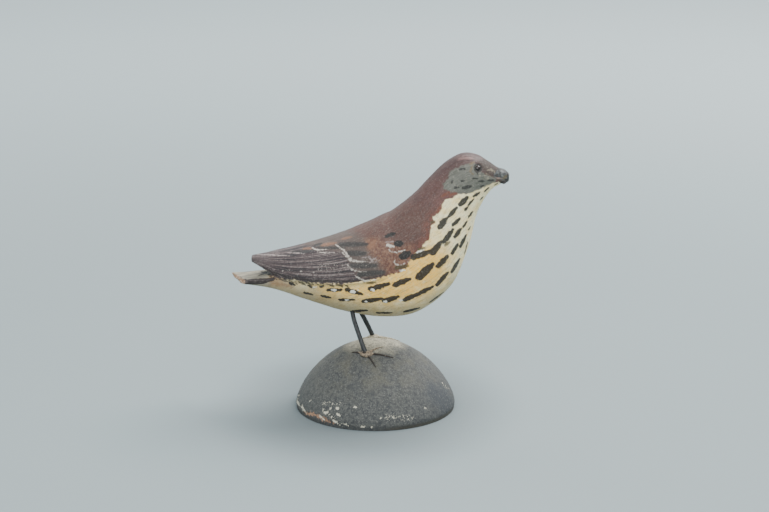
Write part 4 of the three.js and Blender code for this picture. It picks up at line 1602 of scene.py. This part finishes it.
def build_mound():
    """The mound: the turned dome with its chips kept as fields."""
    turns = np.linspace(-0.5, 0.5, DOME_TURNS + 1)
    climb = np.linspace(-0.5, 0.5, DOME_CLIMB + 1)
    across, upward = np.meshgrid(turns, climb)
    grid = np.stack([across.ravel(), upward.ravel(), np.zeros(across.size)], -1) / MM
    wide = DOME_TURNS + 1
    corners = [i * wide + j for i in range(DOME_CLIMB) for j in range(DOME_TURNS)]
    made = make_object("grey_mound", grid, [(a, a + 1, a + wide + 1, a + wide) for a in corners])
    grow(
        made,
        dome_tree(),
        mound_finish(),
        radius=MOUND_RADIUS * MM,
        height=MOUND_HEIGHT * MM,
        foot_radius=MOUND_FOOT_RADIUS * MM,
        foot_height=MOUND_FOOT_HEIGHT * MM,
        rise=MOUND_RISE,
        shoulder=MOUND_SHOULDER,
        roughness=MOUND_ROUGHNESS * MM,
        seed=MOUND_SEED,
    )
    surface = Surface(made)
    fields = {
        "chips": surface.brush(mark_trails(surface, PLASTER_DABS) + far_chips(surface)),
        "flaking": surface.brush(mark_trails(surface, FLAKING_DABS)),
        "blue_patch": surface.brush(mark_trails(surface, BLUE_PATCH_DABS)),
        "bare_wood": surface.brush(mark_trails(surface, [], BARE_EDGE_LINES)),
    }
    chipped = CHIP_DEPTH * smooth_step(fields["chips"], -0.05, 0.15)
    surface.sink(chipped + BARE_EDGE_DEPTH * smooth_step(fields["bare_wood"], -0.1, 0.25))
    for name, field in fields.items():
        surface.store(name, field)
    return made


def far_chips(surface):
    """Small chips scattered round the foot where the photo doesn't reach."""
    draws = np.random.default_rng(21)
    trails = []
    for _ in range(FAR_CHIP_COUNT):
        angle = draws.uniform(*FAR_CHIP_ANGLES)
        height = draws.uniform(0.3, 1.0) ** 2 * FAR_CHIP_HEIGHT
        radius = draws.uniform(*FAR_CHIP_RADII)
        place = Vector((MOUND_RADIUS * math.cos(angle), MOUND_RADIUS * math.sin(angle), height))
        start = np.array(surface.tree.find_nearest(place)[0])
        end = start + draws.normal(0, 0.25, 3)
        trails.append((np.array([start, end]), np.array([radius, radius * 0.6])))
    return trails


def polyline_object(name, lines):
    """A mesh of open lines, for the rod tree."""
    edges = []
    first = 0
    for line in lines:
        edges += [(first + k, first + k + 1) for k in range(len(line) - 1)]
        first += len(line)
    return make_object(name, np.vstack(lines), [], edges)


def build_leg(name, route, rod, finish):
    """A wire leg along its route."""
    made = polyline_object(name, [route])
    radii = {"root_radius": WIRE_RADIUS * MM, "tip_radius": WIRE_RADIUS * MM}
    return grow(made, rod, finish, **radii, unevenness=WIRE_UNEVENNESS, lump_size=WIRE_LUMP_SIZE * MM)


def build_foot(name, foot, painted, rod, finish):
    """A putty foot: a lump round the wire and four toes that follow the mound; painted has its dabs."""
    lump = np.array(foot["lump"])
    toes = []
    for tip in foot["toe_tips"]:
        shares = np.linspace(0, 1, TOE_POINTS)[:, None]
        flat = lump + (np.array(tip) - lump) * shares
        radius = TOE_ROOT_RADIUS + (TOE_TIP_RADIUS - TOE_ROOT_RADIUS) * shares[:, 0]
        height = mound_height(flat[:, 0], flat[:, 1]) + TOE_LIFT * radius
        toes.append(np.column_stack([flat, height]))
    made = polyline_object(name, toes)
    radii = {"root_radius": TOE_ROOT_RADIUS * MM, "tip_radius": TOE_TIP_RADIUS * MM}
    grow(made, rod, finish, **radii, unevenness=TOE_UNEVENNESS, lump_size=TOE_LUMP_SIZE * MM)
    points, faces = ball(LUMP_RINGS, LUMP_SIDES)
    points = points * (LUMP_LENGTH / 2, LUMP_WIDTH / 2, LUMP_HEIGHT)
    points += (lump[0], lump[1], mound_height(*lump) + LUMP_LIFT * LUMP_HEIGHT)
    join_into(made, make_object(name + "_lump", points, faces))
    voxel_union(made, FOOT_VOXEL)
    surface = Surface(made)
    surface.soften(1)
    surface.sink(PUTTY_SINK + PUTTY_RELIEF * grit(surface.points, 0.7, 31))
    surface.renew_tree()
    surface.store("toe_paint", surface.brush(mark_trails(surface, painted)))
    dress_only(made, finish)
    return made


def join_into(made, other):
    """Adds another object's mesh to this one's."""
    with bpy.context.temp_override(active_object=made, selected_editable_objects=[made, other]):
        bpy.ops.object.join()


def build_eye(name, side, finish):
    """A round glass bead, half sunk in the head."""
    points, faces = ball(EYE_RINGS, EYE_SIDES)
    points = points * (EYE_RADIUS * EYE_EASE) + (EYE_CENTRE[0], side * EYE_CENTRE[1], EYE_CENTRE[2])
    made = make_object(name, points, faces)
    shade_smooth(made)
    dress_only(made, finish)
    return made


def build_bird():
    """The carved and painted bird, in one piece."""
    made = carve_shell()
    surface = Surface(made)
    surface.soften(2)
    x, _, z = surface.points.T
    front = smooth_step(x, *WING_FRONT_REAR) * smooth_step(-x, *WING_FRONT_FORE)
    front *= smooth_step(z, *WING_FRONT_FLOOR)
    surface.melt(front * WING_FRONT_SHARE, WING_FRONT_ROUNDS)
    surface.renew_tree()
    carve_relief(surface)
    surface.renew_tree()
    paint_bird(surface)
    dress_only(made, bird_finish())
    return made


# Studio: a pale floor that curves up all round, and soft light. On the floor, painted light far out and
# a painted shadow near the mound each lie between two distances from the mound; the painted shadow's
# are measured in a stretched and shifted space
FLOOR_RADIUS = 1100.0
WALL_RADIUS = 500.0
WALL_HEIGHT = 620.0
FLOOR_BENDS = 16
FLOOR_SIDES = 128
FLOOR_LIGHT_REACH = (130.0, 700.0)
FLOOR_SHADOW_REACH = (50.0, 21.0)
FLOOR_SHADOW_STRETCH = (1.0, 0.8, 1.0)
FLOOR_SHADOW_SHIFT = (3.0, 1.0, 0.0)
FLOOR_BLUE = paint(142, 154, 157)
FLOOR_BLUE_DEEP = paint(137, 149, 152)
FLOOR_PAINTED_LIGHT = paint(170, 182, 185)
FLOOR_PAINTED_SHADOW = paint(117, 127, 130)

# Softboxes: place and target in metres, size in metres, power in watts, colour
LIGHT_TARGET = (0.0, 0.0, 0.04)
SOFTBOXES = {
    "key softbox": ((0.46, 0.4, 0.8), LIGHT_TARGET, (0.6, 0.6), 14.0, (1.0, 0.98, 0.95)),
    "front softbox": ((0.1, -0.8, 0.7), LIGHT_TARGET, (0.8, 0.8), 8.5, (1.0, 0.97, 0.94)),
    "back softbox": ((-0.1, 1.0, 1.1), (0.0, 0.9, 0.0), (1.0, 0.6), 5.5, (1.0, 0.99, 0.98)),
}
ROOM_COLOUR = (0.84, 0.90, 0.93, 1.0)
ROOM_STRENGTH = 1.25


def build_floor():
    """Pale paper under the carving, which curves up all round it."""
    profile = [(0.5, 0.0)] + [(FLOOR_RADIUS * share, 0.0) for share in (0.3, 0.7, 1.0)]
    for bend in range(1, FLOOR_BENDS + 1):
        angle = math.radians(90 * bend / FLOOR_BENDS)
        profile.append((FLOOR_RADIUS + WALL_RADIUS * math.sin(angle), WALL_HEIGHT * (1 - math.cos(angle))))
    faces = skin_faces(len(profile), FLOOR_SIDES)[:-1]
    made = make_object("studio_floor", turned(profile, FLOOR_SIDES), [tuple(reversed(f)) for f in faces])
    shade_smooth(made)
    dress_only(made, floor_finish())


def floor_finish():
    """Pale blue-grey paper, with painted light that makes it paler far out and a painted shadow that makes
    it darker close round the mound.
    """
    material, tree, shader = new_material("pale blue-grey paper")
    place = place_in_mm(tree)
    colour = lay(
        FLOOR_BLUE,
        (noise(place, 60.0) * 0.25, FLOOR_BLUE_DEEP),
        # Painted light: the paper paler far out
        (place.length().step(*FLOOR_LIGHT_REACH), FLOOR_PAINTED_LIGHT),
        # Painted shadow: the paper darker close round the mound
        (scaled(place, FLOOR_SHADOW_STRETCH, FLOOR_SHADOW_SHIFT).length().step(*FLOOR_SHADOW_REACH), FLOOR_PAINTED_SHADOW),
    )
    shader.inputs["Specular IOR Level"].default_value = 0.1
    dress(shader, colour, 0.9)
    return material


def build_lights():
    """The softboxes and a pale room round them."""
    for name, (place, target, size, power, colour) in SOFTBOXES.items():
        light = bpy.data.lights.new(name, "AREA")
        light.shape = "RECTANGLE"
        light.size, light.size_y = size
        light.energy = power
        light.color = colour
        made = add_object(name, light)
        made.location = place
        made.rotation_euler = (Vector(target) - Vector(place)).to_track_quat("-Z", "Y").to_euler()
    world = bpy.data.worlds.new("pale room")
    world.use_nodes = True
    back = world.node_tree.nodes["Background"]
    back.inputs["Color"].default_value = ROOM_COLOUR
    back.inputs["Strength"].default_value = ROOM_STRENGTH
    bpy.context.scene.world = world


def build_camera():
    """The photo's camera, as fitted to the mound and the bird."""
    camera = bpy.data.cameras.new("photo camera")
    camera.lens = LENS
    camera.sensor_width = SENSOR
    camera.clip_start, camera.clip_end = CLIP
    made = add_object("photo camera", camera)
    rows = np.column_stack([VIEW.right, VIEW.up, VIEW.back, VIEW.place * MM])
    made.matrix_world = Matrix([*rows.tolist(), [0, 0, 0, 1]])
    bpy.context.scene.camera = made


def place_on_root(made, slot, *nodes):
    """Hides the model's nodes that a piece stands for and puts the piece on the one body of the part."""
    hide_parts(*nodes)
    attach(made, "root")


build_camera()
build_floor()
build_lights()

bird = build_bird()
place_on_root(bird, "bird_paint", "bird")

mound = build_mound()
place_on_root(mound, "mound_paint", "mound")

rod = rod_tree()
wire = wire_finish()
right_leg = build_leg("right_leg_wire", RIGHT_LEG_ROUTE, rod, wire)
place_on_root(right_leg, "leg_wire", "right_leg")
left_leg = build_leg("left_leg_wire", LEFT_LEG_ROUTE, rod, wire)
place_on_root(left_leg, "leg_wire", "left_leg")

putty = foot_finish()
right_foot = build_foot("right_putty_foot", RIGHT_FOOT, TOE_DABS, rod, putty)
place_on_root(right_foot, "foot_putty", "right_foot")
left_foot = build_foot("left_putty_foot", LEFT_FOOT, [], rod, putty)
place_on_root(left_foot, "foot_putty", "left_foot")

bead = eye_finish()
right_eye = build_eye("right_eye_bead", -1, bead)
place_on_root(right_eye, "eye_glass", "right_eye")
left_eye = build_eye("left_eye_bead", 1, bead)
place_on_root(left_eye, "eye_glass", "left_eye")
